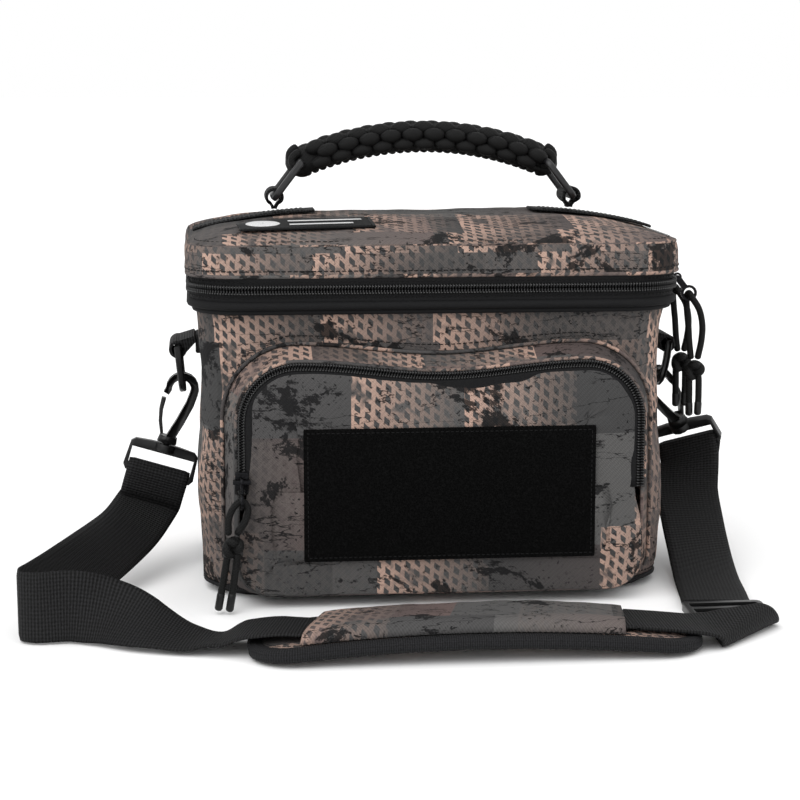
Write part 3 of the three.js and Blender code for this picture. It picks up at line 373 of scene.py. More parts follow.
@dataclass(frozen=True)
class LoopPile:
    """The soft loop side of a touch fastener: a dense dull black pile of tiny loops."""

    name: str = "loop_pile"
    loop_mm: float = 1.1

    def material(self) -> bpy.types.Material:
        """Builds the pile from cells with a deep bump."""
        made, tree, shader = blank(self.name)
        place = wire(tree, "ShaderNodeTexCoord", out="Object")
        scale = 1 / (self.loop_mm * MM)
        cells = wire(tree, "ShaderNodeTexVoronoi", {"Vector": place, "Scale": scale})
        fuzz = wire(tree, "ShaderNodeTexNoise", {"Vector": place, "Scale": scale * 1.7, "Detail": 4.0})
        pile = wire(tree, "ShaderNodeMath", {0: cells, 1: fuzz}, operation="MULTIPLY")
        colour = ramp(tree, pile, [(0.1, "030303"), (0.6, "0f0f0f")], soft=False)
        bump = wire(tree, "ShaderNodeBump", {"Height": pile, "Strength": 0.9, "Distance": 0.0008})
        values = {"Roughness": 0.95, "Specular IOR Level": 0.05}
        finish_shader(tree, shader, {"Base Color": colour, "Normal": bump}, values)
        return made


FINISHES: dict[str, bpy.types.Material] = {}


def build_finishes() -> None:
    """Makes every material once, under the name that the pieces ask for."""
    makers = {
        "camo": PrintedPolyester(),
        # polypropylene webbing, matt, with a painted highlight along the rib tops
        "webbing": RibbedWebbing("ribbed_polypropylene_webbing", "070707", "262627"),
        # grosgrain edge binding, softer and duller than the webbing
        "binding": RibbedWebbing("grosgrain_edge_binding", "0c0c0d", "262628", rib_mm=1.2),
        # woven polyester zip tape, dull with a faint weave
        "tape": GrainedSolid("woven_zip_tape", "0d0d0e", "1a1a1b", 0.9, 0.8, stretch=(1, 1, 3)),
        # nylon coil, smooth and slightly glossy
        "coil": GrainedSolid("nylon_coil", "080809", "151516", 1.5, 0.38, bump=0.05, shine=0.4),
        # pale bars on the coil's turns: painted highlights that stand for glints of light on the coil
        "coil_glint_highlight": GrainedSolid("painted_coil_glints", "3c3c3c", "626262", 0.6, 0.7),
        # dark bonded thread along the seams
        "dark_thread": GrainedSolid("bonded_seam_thread", "0b0b0c", "191919", 0.6, 0.6),
        # injection moulded acetal, satin with a fine tooled texture
        "plastic": GrainedSolid("moulded_acetal", "080808", "111112", 1.2, 0.36, bump=0.06, shine=0.3),
        # moulded rings at the handle, a little lighter than the hooks
        "ring_plastic": GrainedSolid(
            "moulded_nylon_ring", "101011", "1c1c1e", 1.2, 0.34, bump=0.06, shine=0.45
        ),
        # black plated zinc
        "metal": GrainedSolid("black_plated_zinc", "161617", "242426", 0.8, 0.3, metallic=1.0, bump=0.05),
        # closed-cell foam, soft and porous
        "foam": GrainedSolid("closed_cell_foam", "7d8083", "97999c", 1.4, 0.92, bump=0.5),
        # pressed polypropylene sheet
        "board": GrainedSolid("pressed_board", "222426", "303236", 2.5, 0.6, bump=0.1),
        # aluminised glass-fibre cloth, a silver plain weave
        "fire_cloth": GrainedSolid(
            "coated_glass_cloth", "8f9193", "c2c4c6", 1.1, 0.45, metallic=0.4, bump=0.4
        ),
        # black woven base cloth with a heavy coating
        "base_cloth": GrainedSolid("coated_base_cloth", "161617", "222223", 1.0, 0.75, bump=0.4),
        # woven label, satin black
        "label": GrainedSolid("woven_label_ground", "070707", "101011", 0.7, 0.6),
        # white label thread
        "label_white": GrainedSolid("woven_label_thread", "b0b0b0", "d8d8d8", 0.7, 0.6),
        "cord": BraidedCord(),
        "pile": LoopPile(),
    }
    for key, maker in makers.items():
        FINISHES[key] = maker.material()


# ---------------------------------------------------------------- mesh tools


def V(x: float, y: float, z: float) -> Vector:
    """A point in millimetres."""
    return Vector((x, y, z))


def lerp(a: float, b: float, t: float) -> float:
    """The value a share t of the way from a to b."""
    return a + (b - a) * t


def clamp01(t: float) -> float:
    """t held between 0 and 1."""
    return max(0.0, min(1.0, t))


def smooth(t: float) -> float:
    """An eased step over 0 to 1."""
    return t * t * (3 - 2 * t)


def link_mesh(name: str, points: Sequence[Vector], faces: Sequence[Sequence[int]]) -> bpy.types.Object:
    """Makes an object from points in millimetres, at the origin.

    Args:
        name: the piece's name.
        points: the vertices.
        faces: vertex numbers of each face.

    Returns:
        The new object, smooth shaded.
    """
    mesh = bpy.data.meshes.new(name)
    mesh.from_pydata([p * MM for p in points], [], faces)
    mesh.polygons.foreach_set("use_smooth", [True] * len(mesh.polygons))
    made = bpy.data.objects.new(name, mesh)
    bpy.context.scene.collection.objects.link(made)
    return made


def grid(
    name: str,
    rows: Sequence[Row],
    cloth: Callable[[int, int], tuple[float, float]],
    closed: bool = False,
    caps: bool = False,
) -> bpy.types.Object:
    """Makes a surface through rows of points, with a cloth map in millimetres.

    Args:
        name: the piece's name.
        rows: equal rows of points.
        cloth: gives the map's place for a row and column number, one past the last where closed.
        closed: joins each row's end to its start.
        caps: closes the first and last row with a face.

    Returns:
        The new object.
    """
    width = len(rows[0])
    spans = width if closed else width - 1
    points = [p for row in rows for p in row]
    faces, places = [], []
    for i in range(len(rows) - 1):
        for j in range(spans):
            k = (j + 1) % width
            faces.append((i * width + j, i * width + k, (i + 1) * width + k, (i + 1) * width + j))
            places += [cloth(i, j), cloth(i, j + 1), cloth(i + 1, j + 1), cloth(i + 1, j)]
    if caps:
        last = (len(rows) - 1) * width
        faces.append(tuple(reversed(range(width))))
        places += [cloth(0, j) for j in reversed(range(width))]
        faces.append(tuple(last + j for j in range(width)))
        places += [cloth(len(rows) - 1, j) for j in range(width)]
    made = link_mesh(name, points, faces)
    layer = made.data.uv_layers.new(name="cloth")
    layer.data.foreach_set("uv", [c * MM for place in places for c in place])
    return made


def finish(
    made: bpy.types.Object,
    key: str,
    body: str,
    replaces: Iterable[str] = (),
    sharp: float | None = None,
) -> bpy.types.Object:
    """Dresses a piece, lets it ride on its body and logs it.

    Args:
        made: the piece.
        key: its finish.
        body: the body it rides on.
        replaces: CAD nodes that it stands for.
        sharp: edges sharper than this many degrees stay sharp.

    Returns:
        The same piece.
    """
    made.data.materials.clear()
    made.data.materials.append(FINISHES[key])
    if sharp is not None:
        activate(made)
        bpy.ops.object.shade_smooth_by_angle(angle=math.radians(sharp))
    if body:
        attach(made, body)
    if replaces:
        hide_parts(*replaces)
    LOG.info("%s: %d faces, rides on %s", made.name, len(made.data.polygons), body)
    return made


def activate(made: bpy.types.Object) -> None:
    """Deselects everything, then selects one object and makes it the active one."""
    bpy.ops.object.select_all(action="DESELECT")
    made.select_set(True)
    bpy.context.view_layer.objects.active = made


def apply_modifier(made: bpy.types.Object, kind: str, **settings) -> None:
    """Adds a modifier and applies it.

    Args:
        made: the piece.
        kind: the modifier's type.
        **settings: its settings.
    """
    activate(made)
    modifier = made.modifiers.new(kind.title(), kind)
    for key, value in settings.items():
        setattr(modifier, key, value)
    bpy.ops.object.modifier_apply(modifier=modifier.name)


def outwards(made: bpy.types.Object) -> bpy.types.Object:
    """Merges doubles and turns every face outwards."""
    activate(made)
    bpy.ops.object.mode_set(mode="EDIT")
    bpy.ops.mesh.select_all(action="SELECT")
    bpy.ops.mesh.remove_doubles(threshold=0.00001)
    bpy.ops.mesh.normals_make_consistent(inside=False)
    bpy.ops.object.mode_set(mode="OBJECT")
    return made


def quarter(cx: float, cy: float, radius: float, start: float, steps: int) -> list[tuple[float, float]]:
    """A quarter of a circle as plan points, from a number of quarter turns."""
    turns = [(start + i / steps) * math.pi / 2 for i in range(steps + 1)]
    return [(cx + radius * math.cos(a), cy + radius * math.sin(a)) for a in turns]


def straight(a: tuple[float, float], b: tuple[float, float], steps: int) -> list[tuple[float, float]]:
    """The points between a and b, without either end."""
    return [(lerp(a[0], b[0], i / steps), lerp(a[1], b[1], i / steps)) for i in range(1, steps)]


def rounded_box(half_x: float, half_y: float, corner: float, centre_y: float = 0.0, fine: int = 10) -> list:
    """A rounded rectangle on the plan, evenly filled along its sides.

    Args:
        half_x: half the width.
        half_y: half the depth.
        corner: the corner radius.
        centre_y: the middle in Y.
        fine: steps in each corner.

    Returns:
        Plan points, anticlockwise.
    """
    x, y = half_x - corner, half_y - corner
    arcs = [
        quarter(x, centre_y + y, corner, 0, fine),
        quarter(-x, centre_y + y, corner, 1, fine),
        quarter(-x, centre_y - y, corner, 2, fine),
        quarter(x, centre_y - y, corner, 3, fine),
    ]
    made = []
    for i, arc in enumerate(arcs):
        steps = fine * (5 if i % 2 == 0 else 3)
        made += arc + straight(arc[-1], arcs[(i + 1) % 4][0], steps)
    return made


def lengths(points: Sequence) -> list[float]:
    """The running length at each point, and once more round to the first."""
    total = [0.0]
    for i in range(len(points)):
        a, b = Vector(points[i]), Vector(points[(i + 1) % len(points)])
        total.append(total[-1] + (b - a).length)
    return total


def catmull(points: Sequence[Vector], steps: int) -> list[Vector]:
    """A smooth centripetal curve through points.

    Args:
        points: the points it passes.
        steps: how many steps to cut it into.

    Returns:
        The points along it, both ends included.
    """
    made = []
    spans = len(points) - 1
    for i in range(steps + 1):
        place = spans * i / steps
        k = min(int(place), spans - 1)
        t = place - k
        p1, p2 = points[k], points[k + 1]
        p0 = points[k - 1] if k > 0 else p1 * 2 - p2
        p3 = points[k + 2] if k + 2 <= spans else p2 * 2 - p1
        d0, d1, d2 = (max(1e-4, (b - a).length ** 0.5) for a, b in ((p0, p1), (p1, p2), (p2, p3)))
        t1 = (p1 - p0) / d0 - (p2 - p0) / (d0 + d1) + (p2 - p1) / d1
        t2 = (p2 - p1) / d1 - (p3 - p1) / (d1 + d2) + (p3 - p2) / d2
        t1, t2 = t1 * d1, t2 * d1
        made.append(
            p1 * (2 * t**3 - 3 * t**2 + 1) + t1 * (t**3 - 2 * t**2 + t)
            + p2 * (-2 * t**3 + 3 * t**2) + t2 * (t**3 - t**2)
        )
    return made


def resample(stations: Sequence[Station], pitch: float) -> list[tuple[Vector, Vector, Vector]]:
    """Even places along a run of points with normals.

    Args:
        stations: points, each with its outward normal.
        pitch: the spacing in millimetres.

    Returns:
        Point, direction and normal at each place.
    """
    made = []
    ahead = pitch / 2
    for (a, na), (b, nb) in zip(stations, stations[1:]):
        span = (b - a).length
        while ahead < span:
            t = ahead / span
            made.append((a.lerp(b, t), (b - a).normalized(), na.lerp(nb, t).normalized()))
            ahead += pitch
        ahead -= span
    return made


def blocks(
    name: str,
    stations: Sequence[Station],
    pitch: float,
    size: tuple[float, float, float],
    lift: float = 0.0,
    slant: float = 0.0,
) -> bpy.types.Object:
    """Rounded little bars along a run, such as stitches or the turns of a zip's coil.

    Args:
        name: the piece's name.
        stations: points, each with its outward normal.
        pitch: the spacing in millimetres.
        size: each bar's length along the run, its width across and its height.
        lift: how far its foot stands off the run.
        slant: how far its ends lean along the run.

    Returns:
        One object that holds them all.
    """
    long, wide, high = size
    points, faces = [], []
    ring = [(-1, 0), (-0.72, 0.75), (0, 1), (0.72, 0.75), (1, 0)]
    for at, along, normal in resample(stations, pitch):
        across = normal.cross(along).normalized()
        first = len(points)
        for end in (-1, 1):
            for u, w in ring:
                shift = along * (u * long / 2 + end * slant)
                points.append(at + across * (end * wide / 2) + shift + normal * (lift + w * high))
        count = len(ring)
        for k in range(count):
            m = (k + 1) % count
            faces.append((first + k, first + m, first + count + m, first + count + k))
        faces.append(tuple(first + k for k in reversed(range(count))))
        faces.append(tuple(first + count + k for k in range(count)))
    return outwards(link_mesh(name, points, faces))


def heading(points: Sequence[Vector], i: int) -> Vector:
    """The direction in which an open run passes one of its points."""
    return (points[min(i + 1, len(points) - 1)] - points[max(i - 1, 0)]).normalized()


def closed_run(points: Row, tilt: float = 0.0) -> list[Station]:
    """Closes an outline and gives each point its outward normal, tilted up by a share."""
    ring = [*points, points[0]]
    made = []
    for i, at in enumerate(ring):
        along = ring[(i + 1) % (len(ring) - 1)] - ring[i - 1 if i else -2]
        out = V(along.y, -along.x, 0).normalized()
        made.append((at, (out + V(0, 0, tilt)).normalized() if tilt else out))
    return made


def tube(
    name: str, points: Sequence[Vector], radius: float, sides: int = 12, flat: float = 1.0
) -> bpy.types.Object:
    """A round cord through points, with closed round ends and a cloth map.

    Args:
        name: the piece's name.
        points: the middle line.
        radius: its radius.
        sides: how many sides it has.
        flat: its height as a share of its width.

    Returns:
        The new object.
    """
    rows, run = [], lengths(points)
    side = (points[1] - points[0]).orthogonal().normalized()
    for i, at in enumerate(points):
        along = heading(points, i)
        side = (side - along * side.dot(along)).normalized()
        up = along.cross(side)
        turns = [2 * math.pi * j / sides for j in range(sides)]
        ring = [side * (radius * math.cos(a)) + up * (radius * flat * math.sin(a)) for a in turns]
        if i == 0:
            rows += [[at - along * radius * far + p * wide for p in ring] for far, wide in END_ROWS]
        rows.append([at + p for p in ring])
        if i == len(points) - 1:
            rows += [[at + along * radius * far + p * wide for p in ring] for far, wide in reversed(END_ROWS)]
    span = 2 * math.pi * radius / sides

    def cloth(i: int, j: int) -> tuple[float, float]:
        """Length along the cord and place round it."""
        return run[min(i, len(run) - 1)], j * span

    return outwards(grid(name, rows, cloth, closed=True, caps=True))


def band(
    name: str, stations: Sequence[Station], width: float, thick: float, columns: int = 10
) -> bpy.types.Object:
    """A flat band through stations that each give a centre and a cross direction.

    Args:
        name: the piece's name.
        stations: centres with the direction across the band.
        width: the band's width.
        thick: its thickness.
        columns: faces across its width.

    Returns:
        The new object, with u along it on its cloth map.
    """
    centres = [at for at, _ in stations]
    rows, run = [], lengths(centres)
    for i, (at, sideways) in enumerate(stations):
        along = heading(centres, i)
        across = (sideways - along * sideways.dot(along)).normalized()
        out = along.cross(across)
        upper, lower = [], []
        for j in range(columns + 1):
            share = 2 * j / columns - 1
            edge = 0.35 if j in (0, columns) else 1.0
            at_j = at + across * (share * width / 2)
            upper.append(at_j + out * (edge * thick / 2))
            lower.append(at_j - out * (edge * thick / 2))
        rows.append(upper + lower[::-1])
    count = columns + 1

    def cloth(i: int, j: int) -> tuple[float, float]:
        """Length along the band and place across it, the same on both of its faces."""
        k = j % (2 * count)
        k = k if k < count else 2 * count - 1 - k
        return run[min(i, len(run) - 1)], k * width / columns

    return outwards(grid(name, rows, cloth, closed=True, caps=True))


def sew(
    name: str,
    stations: Sequence[Station],
    pitch: float,
    size: tuple[float, float, float],
    body: str,
    lift: float = 0.0,
    key: str = "dark_thread",
) -> None:
    """Stitches along a run; the zips also use it for pale bars that are painted highlights on their coils.

    Args:
        name: the piece's name.
        stations: points, each with its outward normal.
        pitch: the spacing in millimetres.
        size: each stitch's length, width and height.
        body: the body they ride on.
        lift: how far they stand off the run.
        key: the thread's finish.
    """
    finish(blocks(name, stations, pitch, size, lift), key, body)


def soften(
    made: bpy.types.Object, amount: float, size: float, seed: float, hold: Callable[[Vector], float]
) -> None:
    """Gives cloth its slack: a slow, uneven swell along its normals.

    Args:
        made: the piece.
        amount: the largest swell in millimetres.
        size: the size of its waves in millimetres.
        seed: picks the pattern.
        hold: how free each point is to move, from 0 to 1.
    """
    normals = [v.normal.copy() for v in made.data.vertices]
    for vertex, normal in zip(made.data.vertices, normals):
        at = vertex.co / MM
        wave = noise.noise(at / size + Vector((seed, 0, 0))) + 0.45 * noise.noise(at / (size * 0.37))
        vertex.co += normal * (wave * amount * hold(at) * MM)
    made.data.update()


def refined(node: str, key: str, body: str, bevel: float = 0.35) -> bpy.types.Object:
    """A hard piece with its edges eased: a copy of the CAD node that then stands for it.

    Args:
        node: the CAD node.
        key: the finish.
        body: the body it rides on.
        bevel: the eased edge's width in millimetres.

    Returns:
        The new object.
    """
    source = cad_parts[node]
    made = bpy.data.objects.new(node + "_finished", source.data.copy())
    bpy.context.scene.collection.objects.link(made)
    made.hide_render = False
    activate(made)
    bpy.ops.object.mode_set(mode="EDIT")
    bpy.ops.mesh.select_all(action="SELECT")
    bpy.ops.mesh.remove_doubles(threshold=0.00001)
    bpy.ops.mesh.dissolve_limited(angle_limit=math.radians(1.0))
    bpy.ops.object.mode_set(mode="OBJECT")
    for layer in list(made.data.uv_layers):
        made.data.uv_layers.remove(layer)
    edges = {"limit_method": "ANGLE", "angle_limit": math.radians(38), "use_clamp_overlap": True}
    apply_modifier(made, "BEVEL", offset_type="OFFSET", width=bevel * MM, segments=2, **edges)
    cloth = made.data.uv_layers.new(name="cloth")
    for loop in made.data.loops:
        at = made.data.vertices[loop.vertex_index].co
        cloth.data[loop.index].uv = (at.x + at.z * 0.2, at.y + at.z * 0.8)
    return finish(made, key, body, [node], sharp=32)


# ---------------------------------------------------------------- bag body


@dataclass
class BagBody:
    """The box of printed cloth with its base, seams, side tabs and inner layers."""

    corner: float = 34.0
    seam_z: float = 5.8
    top_z: float = 168.5
    profile: tuple = (
        (0, 129, 80), (4, 133.5, 84.5), (14, 136, 87.5), (42, 137.4, 89), (70, 137.5, 89),
        (100, 135.2, 88), (122, 134, 87.5), (150, 136, 88), (168.5, 138, 89),
    )

    def size(self, z: float) -> tuple[float, float]:
        """Half width and half depth at a height."""
        for low, high in zip(self.profile, self.profile[1:]):
            if z <= high[0]:
                t = clamp01((z - low[0]) / (high[0] - low[0]))
                return lerp(low[1], high[1], t), lerp(low[2], high[2], t)
        return self.profile[-1][1:]

    def outline(self, z: float, grow: float = 0.0) -> Row:
        """The body's outline at a height."""
        half_x, half_y = self.size(z)
        plan = rounded_box(half_x + grow, half_y + grow, self.corner + grow, 0.0, 12)
        return [V(x, y, z) for x, y in plan]

    def ring(self, z: float, grow: float) -> list[Station]:
        """The outline as a closed run with outward normals."""
        return closed_run(self.outline(z, grow))

    def slack(self, p: Vector) -> float:
        """How free the cloth is at a point: held at its seams, and nearly still behind the pocket."""
        between = smooth(clamp01((p.z - 8) / 26)) * smooth(clamp01((self.top_z - p.z) / 14))
        behind = p.y < -70 and abs(p.x) < 118 and p.z < 142
        return between * (0.25 if behind else 1.0)

    def build(self) -> None:
        """Makes the shell, its piping and its stitches, and dresses the layers inside."""
        heights = [self.seam_z + 0.3 + (self.top_z - self.seam_z - 0.3) * i / 44 for i in range(45)]
        rows = [self.outline(z) for z in heights]
        run = lengths(rows[20])
        shell = grid("body_cloth", rows, lambda i, j: (run[j], heights[i]), closed=True)
        soften(shell, 1.9, 46.0, 3.0, self.slack)
        apply_modifier(shell, "SOLIDIFY", thickness=1.5 * MM, offset=-1.0, use_even_offset=False)
        finish(shell, "camo", "bag", ["outer_shell"])

        piping = self.ring(self.seam_z - 0.2, 0.5)
        cord = tube("base_piping", [p for p, _ in piping], 1.3, 8)
        finish(cord, "binding", "bag")
        for name, z, grow in (("base_stitches", 9.4, 0.1), ("rim_stitches", 165.6, 0.15)):
            sew(name, self.ring(z, grow), 3.2, (2.2, 0.6, 0.35), "bag", 0.05)

        dressed = {
            "base_panel": "base_cloth", "base_board": "board", "foam_walls": "foam", "foam_base": "foam",
            "fire_lining": "fire_cloth", "rim_binding": "tape",
            "lid_foam": "foam", "lid_lining": "fire_cloth",
            "hinge_strip_lower": "tape", "hinge_strip_upper": "tape", "main_zip_lower_tape": "tape",
            "main_zip_upper_tape": "tape", "pocket_zip_outer_tape": "tape", "pocket_zip_inner_tape": "tape",
        }
        for node, key in dressed.items():
            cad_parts[node].data.materials.clear()
            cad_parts[node].data.materials.append(FINISHES[key])
        for side in Side:
            self.tab(side)

    def tab(self, side: Side) -> None:
        """The webbing tab that holds a D ring, with its box of stitches."""
        sign = side.value
        refined(f"side_tab_{side.word}", "webbing", "bag", 0.3)
        low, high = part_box(f"side_tab_{side.word}")
        y = high[1] / MM - 3.5
        z0, z1 = lerp(low[2], high[2], 0.62) / MM, high[2] / MM - 1.5
        x = sign * (self.size(z1)[0] + 3.0)
        corners = [V(x, -y, z0), V(x, y, z0), V(x, y, z1), V(x, -y, z1), V(x, -y, z0)]
        out = V(sign, 0, 0)
        run = [(c, out) for c in corners]
        sew(f"side_tab_stitches_{side.word}", run, 2.6, (1.9, 0.5, 0.4), "bag", -0.4)


# ---------------------------------------------------------------- lid


@dataclass
class Lid:
    """The pillow-topped lid with its hem, label and the strips under the handle."""

    half_x: float = 143.5
    half_y: float = 94.0
    corner: float = 32.0
    centre_y: float = -2.5
    bottom: float = 187.3
    profile: tuple = (
        (0.6, 187.3), (0, 188.6), (-0.4, 193), (-0.3, 199), (0.3, 202.5), (1.1, 204.4), (2.5, 205.6),
        (5, 206.7), (9, 208), (14, 209.3), (21, 210.8), (29, 212.3), (37, 213.6), (46, 214.9), (56, 216),
        (67, 216.9), (78, 217.5), (87, 217.8),
    )

    def outline(self, inset: float, z: float) -> Row:
        """The lid's outline drawn in by an inset."""
        corner = max(3.0, self.corner - inset)
        plan = rounded_box(self.half_x - inset, self.half_y - inset, corner, self.centre_y, 12)
        return [V(x, y, z) for x, y in plan]

    def roof(self, x: float, y: float) -> float:
        """Height of the roof above a point."""
        inset = min(self.half_x - abs(x), self.half_y - abs(y - self.centre_y))
        slope = self.profile[4:]
        for low, high in zip(slope, slope[1:]):
            if inset <= high[0]:
                return lerp(low[1], high[1], clamp01((inset - low[0]) / (high[0] - low[0])))
        return slope[-1][1]

    def build(self) -> None:
        """Makes the cloth, its seams, the label and the strips."""
        rows = []
        for low, high in zip(self.profile, self.profile[1:]):
            steps = 3 if high[0] > 5 or high[1] < 203 else 2
            for t in (i / steps for i in range(steps)):
                rows.append(self.outline(lerp(low[0], high[0], t), lerp(low[1], high[1], t)))
        rows.append(self.outline(*self.profile[-1]))
        middle = [V(p.x * 0.5, (p.y - self.centre_y) * 0.02 + self.centre_y, 217.8) for p in rows[-1]]
        rows.append(middle)
        run = lengths(rows[4])
        crease = 204.6

        def cloth(i: int, j: int) -> tuple[float, float]:
            """The side follows the rim and the roof is cut flat."""
            at = rows[i][j % len(rows[i])]
            return (run[j] + 37.0, at.z) if at.z < crease else (at.x, at.y * 1.02 + 71.0)

        shell = grid("lid_cloth", rows, cloth, closed=True, caps=False)
        # the middle row lies nearly on a line, so its doubles are merged and close the roof
        activate(shell)
        bpy.ops.object.mode_set(mode="EDIT")
        bpy.ops.mesh.select_all(action="DESELECT")
        bpy.ops.object.mode_set(mode="OBJECT")
        count = len(shell.data.vertices)
        for vertex in shell.data.vertices[count - len(middle) :]:
            vertex.select = True
        bpy.ops.object.mode_set(mode="EDIT")
        bpy.ops.mesh.select_mode(type="VERT")
        bpy.ops.mesh.remove_doubles(threshold=0.0008)
        bpy.ops.object.mode_set(mode="OBJECT")

        def slack(p: Vector) -> float:
            """How free the cloth is at a point: held at the hem, and less so on the sides."""
            return smooth(clamp01((p.z - 188.5) / 6)) * (0.6 if p.z < 206 else 1.0)

        soften(shell, 1.5, 52.0, 9.0, slack)
        apply_modifier(shell, "SOLIDIFY", thickness=1.4 * MM, offset=-1.0, use_even_offset=False)
        finish(shell, "camo", "lid", ["lid_shell"])
        self.seams()
        self.label()
        for side in Side:
            self.strip(side)

    def ring(self, inset: float, z: float, tilt: float = 0.0) -> list[Station]:
        """The outline as a closed run with normals tilted up by a share."""
        return closed_run(self.outline(inset, z), tilt)

    def seams(self) -> None:
        """The hem's piping and stitches, and the seam along the crease."""
        hem = tube("lid_hem_piping", [p for p, _ in self.ring(0.7, self.bottom + 0.5)], 1.2, 8)
        finish(hem, "camo", "lid")
        low = self.ring(-0.25, self.bottom + 3.4)
        sew("lid_hem_stitches", low, 3.4, (2.4, 0.6, 0.3), "lid", 0.05)
        fold = tube("lid_crease_seam", [p for p, _ in self.ring(1.9, 204.7)], 0.8, 6)
        finish(fold, "camo", "lid")
        sew("lid_crease_stitches", self.ring(5.5, 206.9, 3.0), 3.4, (2.4, 0.5, 0.3), "lid")

    def label(self) -> None:
        """A sewn black label with a plain disc and plain bars, which say nothing."""
        turn, centre = math.radians(5), (-74.0, -62.0)

        def place(u: float, w: float, lift: float) -> Vector:
            """A point on the roof from its place on the label."""
            x = centre[0] + u * math.cos(turn) - w * math.sin(turn)
            y = centre[1] + u * math.sin(turn) + w * math.cos(turn)
            return V(x, y, self.roof(x, y) + lift)

        across = [lerp(-12, 12, j / 10) for j in range(11)]
        rows = [[place(lerp(-39, 39, i / 30), w, 1.9) for w in across] for i in range(31)]
        ground = grid("label_ground", rows, lambda i, j: (i * 2.6, j * 2.4))
        apply_modifier(ground, "SOLIDIFY", thickness=1.0 * MM, offset=0.0)
        finish(ground, "label", "lid", ["name_label"])
        corners = ((-37, -10.4), (37, -10.4), (37, 10.4), (-37, 10.4), (-37, -10.4))
        edge = [place(u, w, 2.4) for u, w in corners]
        run = [(p, V(0, -0.2, 1).normalized()) for p in edge]
        sew("label_stitches", run, 2.2, (1.5, 0.5, 0.25), "lid")
        turns = [2 * math.pi * j / 28 for j in range(28)]
        disc = []
        for r in (0.05, 0.5, 0.92, 1.0):
            disc.append([place(-25 + r * 10 * math.cos(a), r * 6.4 * math.sin(a), 2.75) for a in turns])
        disc[-1] = [p - V(0, 0, 0.3) for p in disc[-1]]
        sign = grid("label_disc", disc, lambda i, j: (i, j), closed=True)
        finish(outwards(sign), "label_white", "lid")
        for k, (start, end, w) in enumerate(((-10, 33, 4.2), (-10, 27, -4.2))):
            run = []
            for u in (lerp(start, end, i / 12) for i in range(13)):
                run.append([place(u, w + side * 1.1, 2.7) for side in (-1, 1)])
            bar = grid(f"label_bar_{k}", run, lambda i, j: (i, j))
            apply_modifier(bar, "SOLIDIFY", thickness=0.3 * MM, offset=0.0)
            finish(bar, "label_white", "lid")

    def strip(self, side: Side) -> None:
        """The webbing strip that runs from the handle's foot over the roof to the rim."""
        sign = side.value
        xs = [sign * lerp(66, 139, i / 24) for i in range(25)]
        run = [(V(x, 0, self.roof(x, 0) + 1.5), V(0, sign, 0)) for x in xs]
        made = band(f"handle_strip_cloth_{side.word}", run, 25.0, 1.6)
        finish(made, "webbing", "lid", [f"handle_strip_{side.word}"])
        border = [(x, -10.5) for x in xs[2:]] + [(x, 10.5) for x in reversed(xs[2:])]
        edge = [(V(x, y, self.roof(x, 0) + 2.3), V(0, 0, 1)) for x, y in border]
        sew(f"handle_strip_stitches_{side.word}", edge, 2.8, (2.0, 0.5, 0.3), "lid")


# ---------------------------------------------------------------- zips


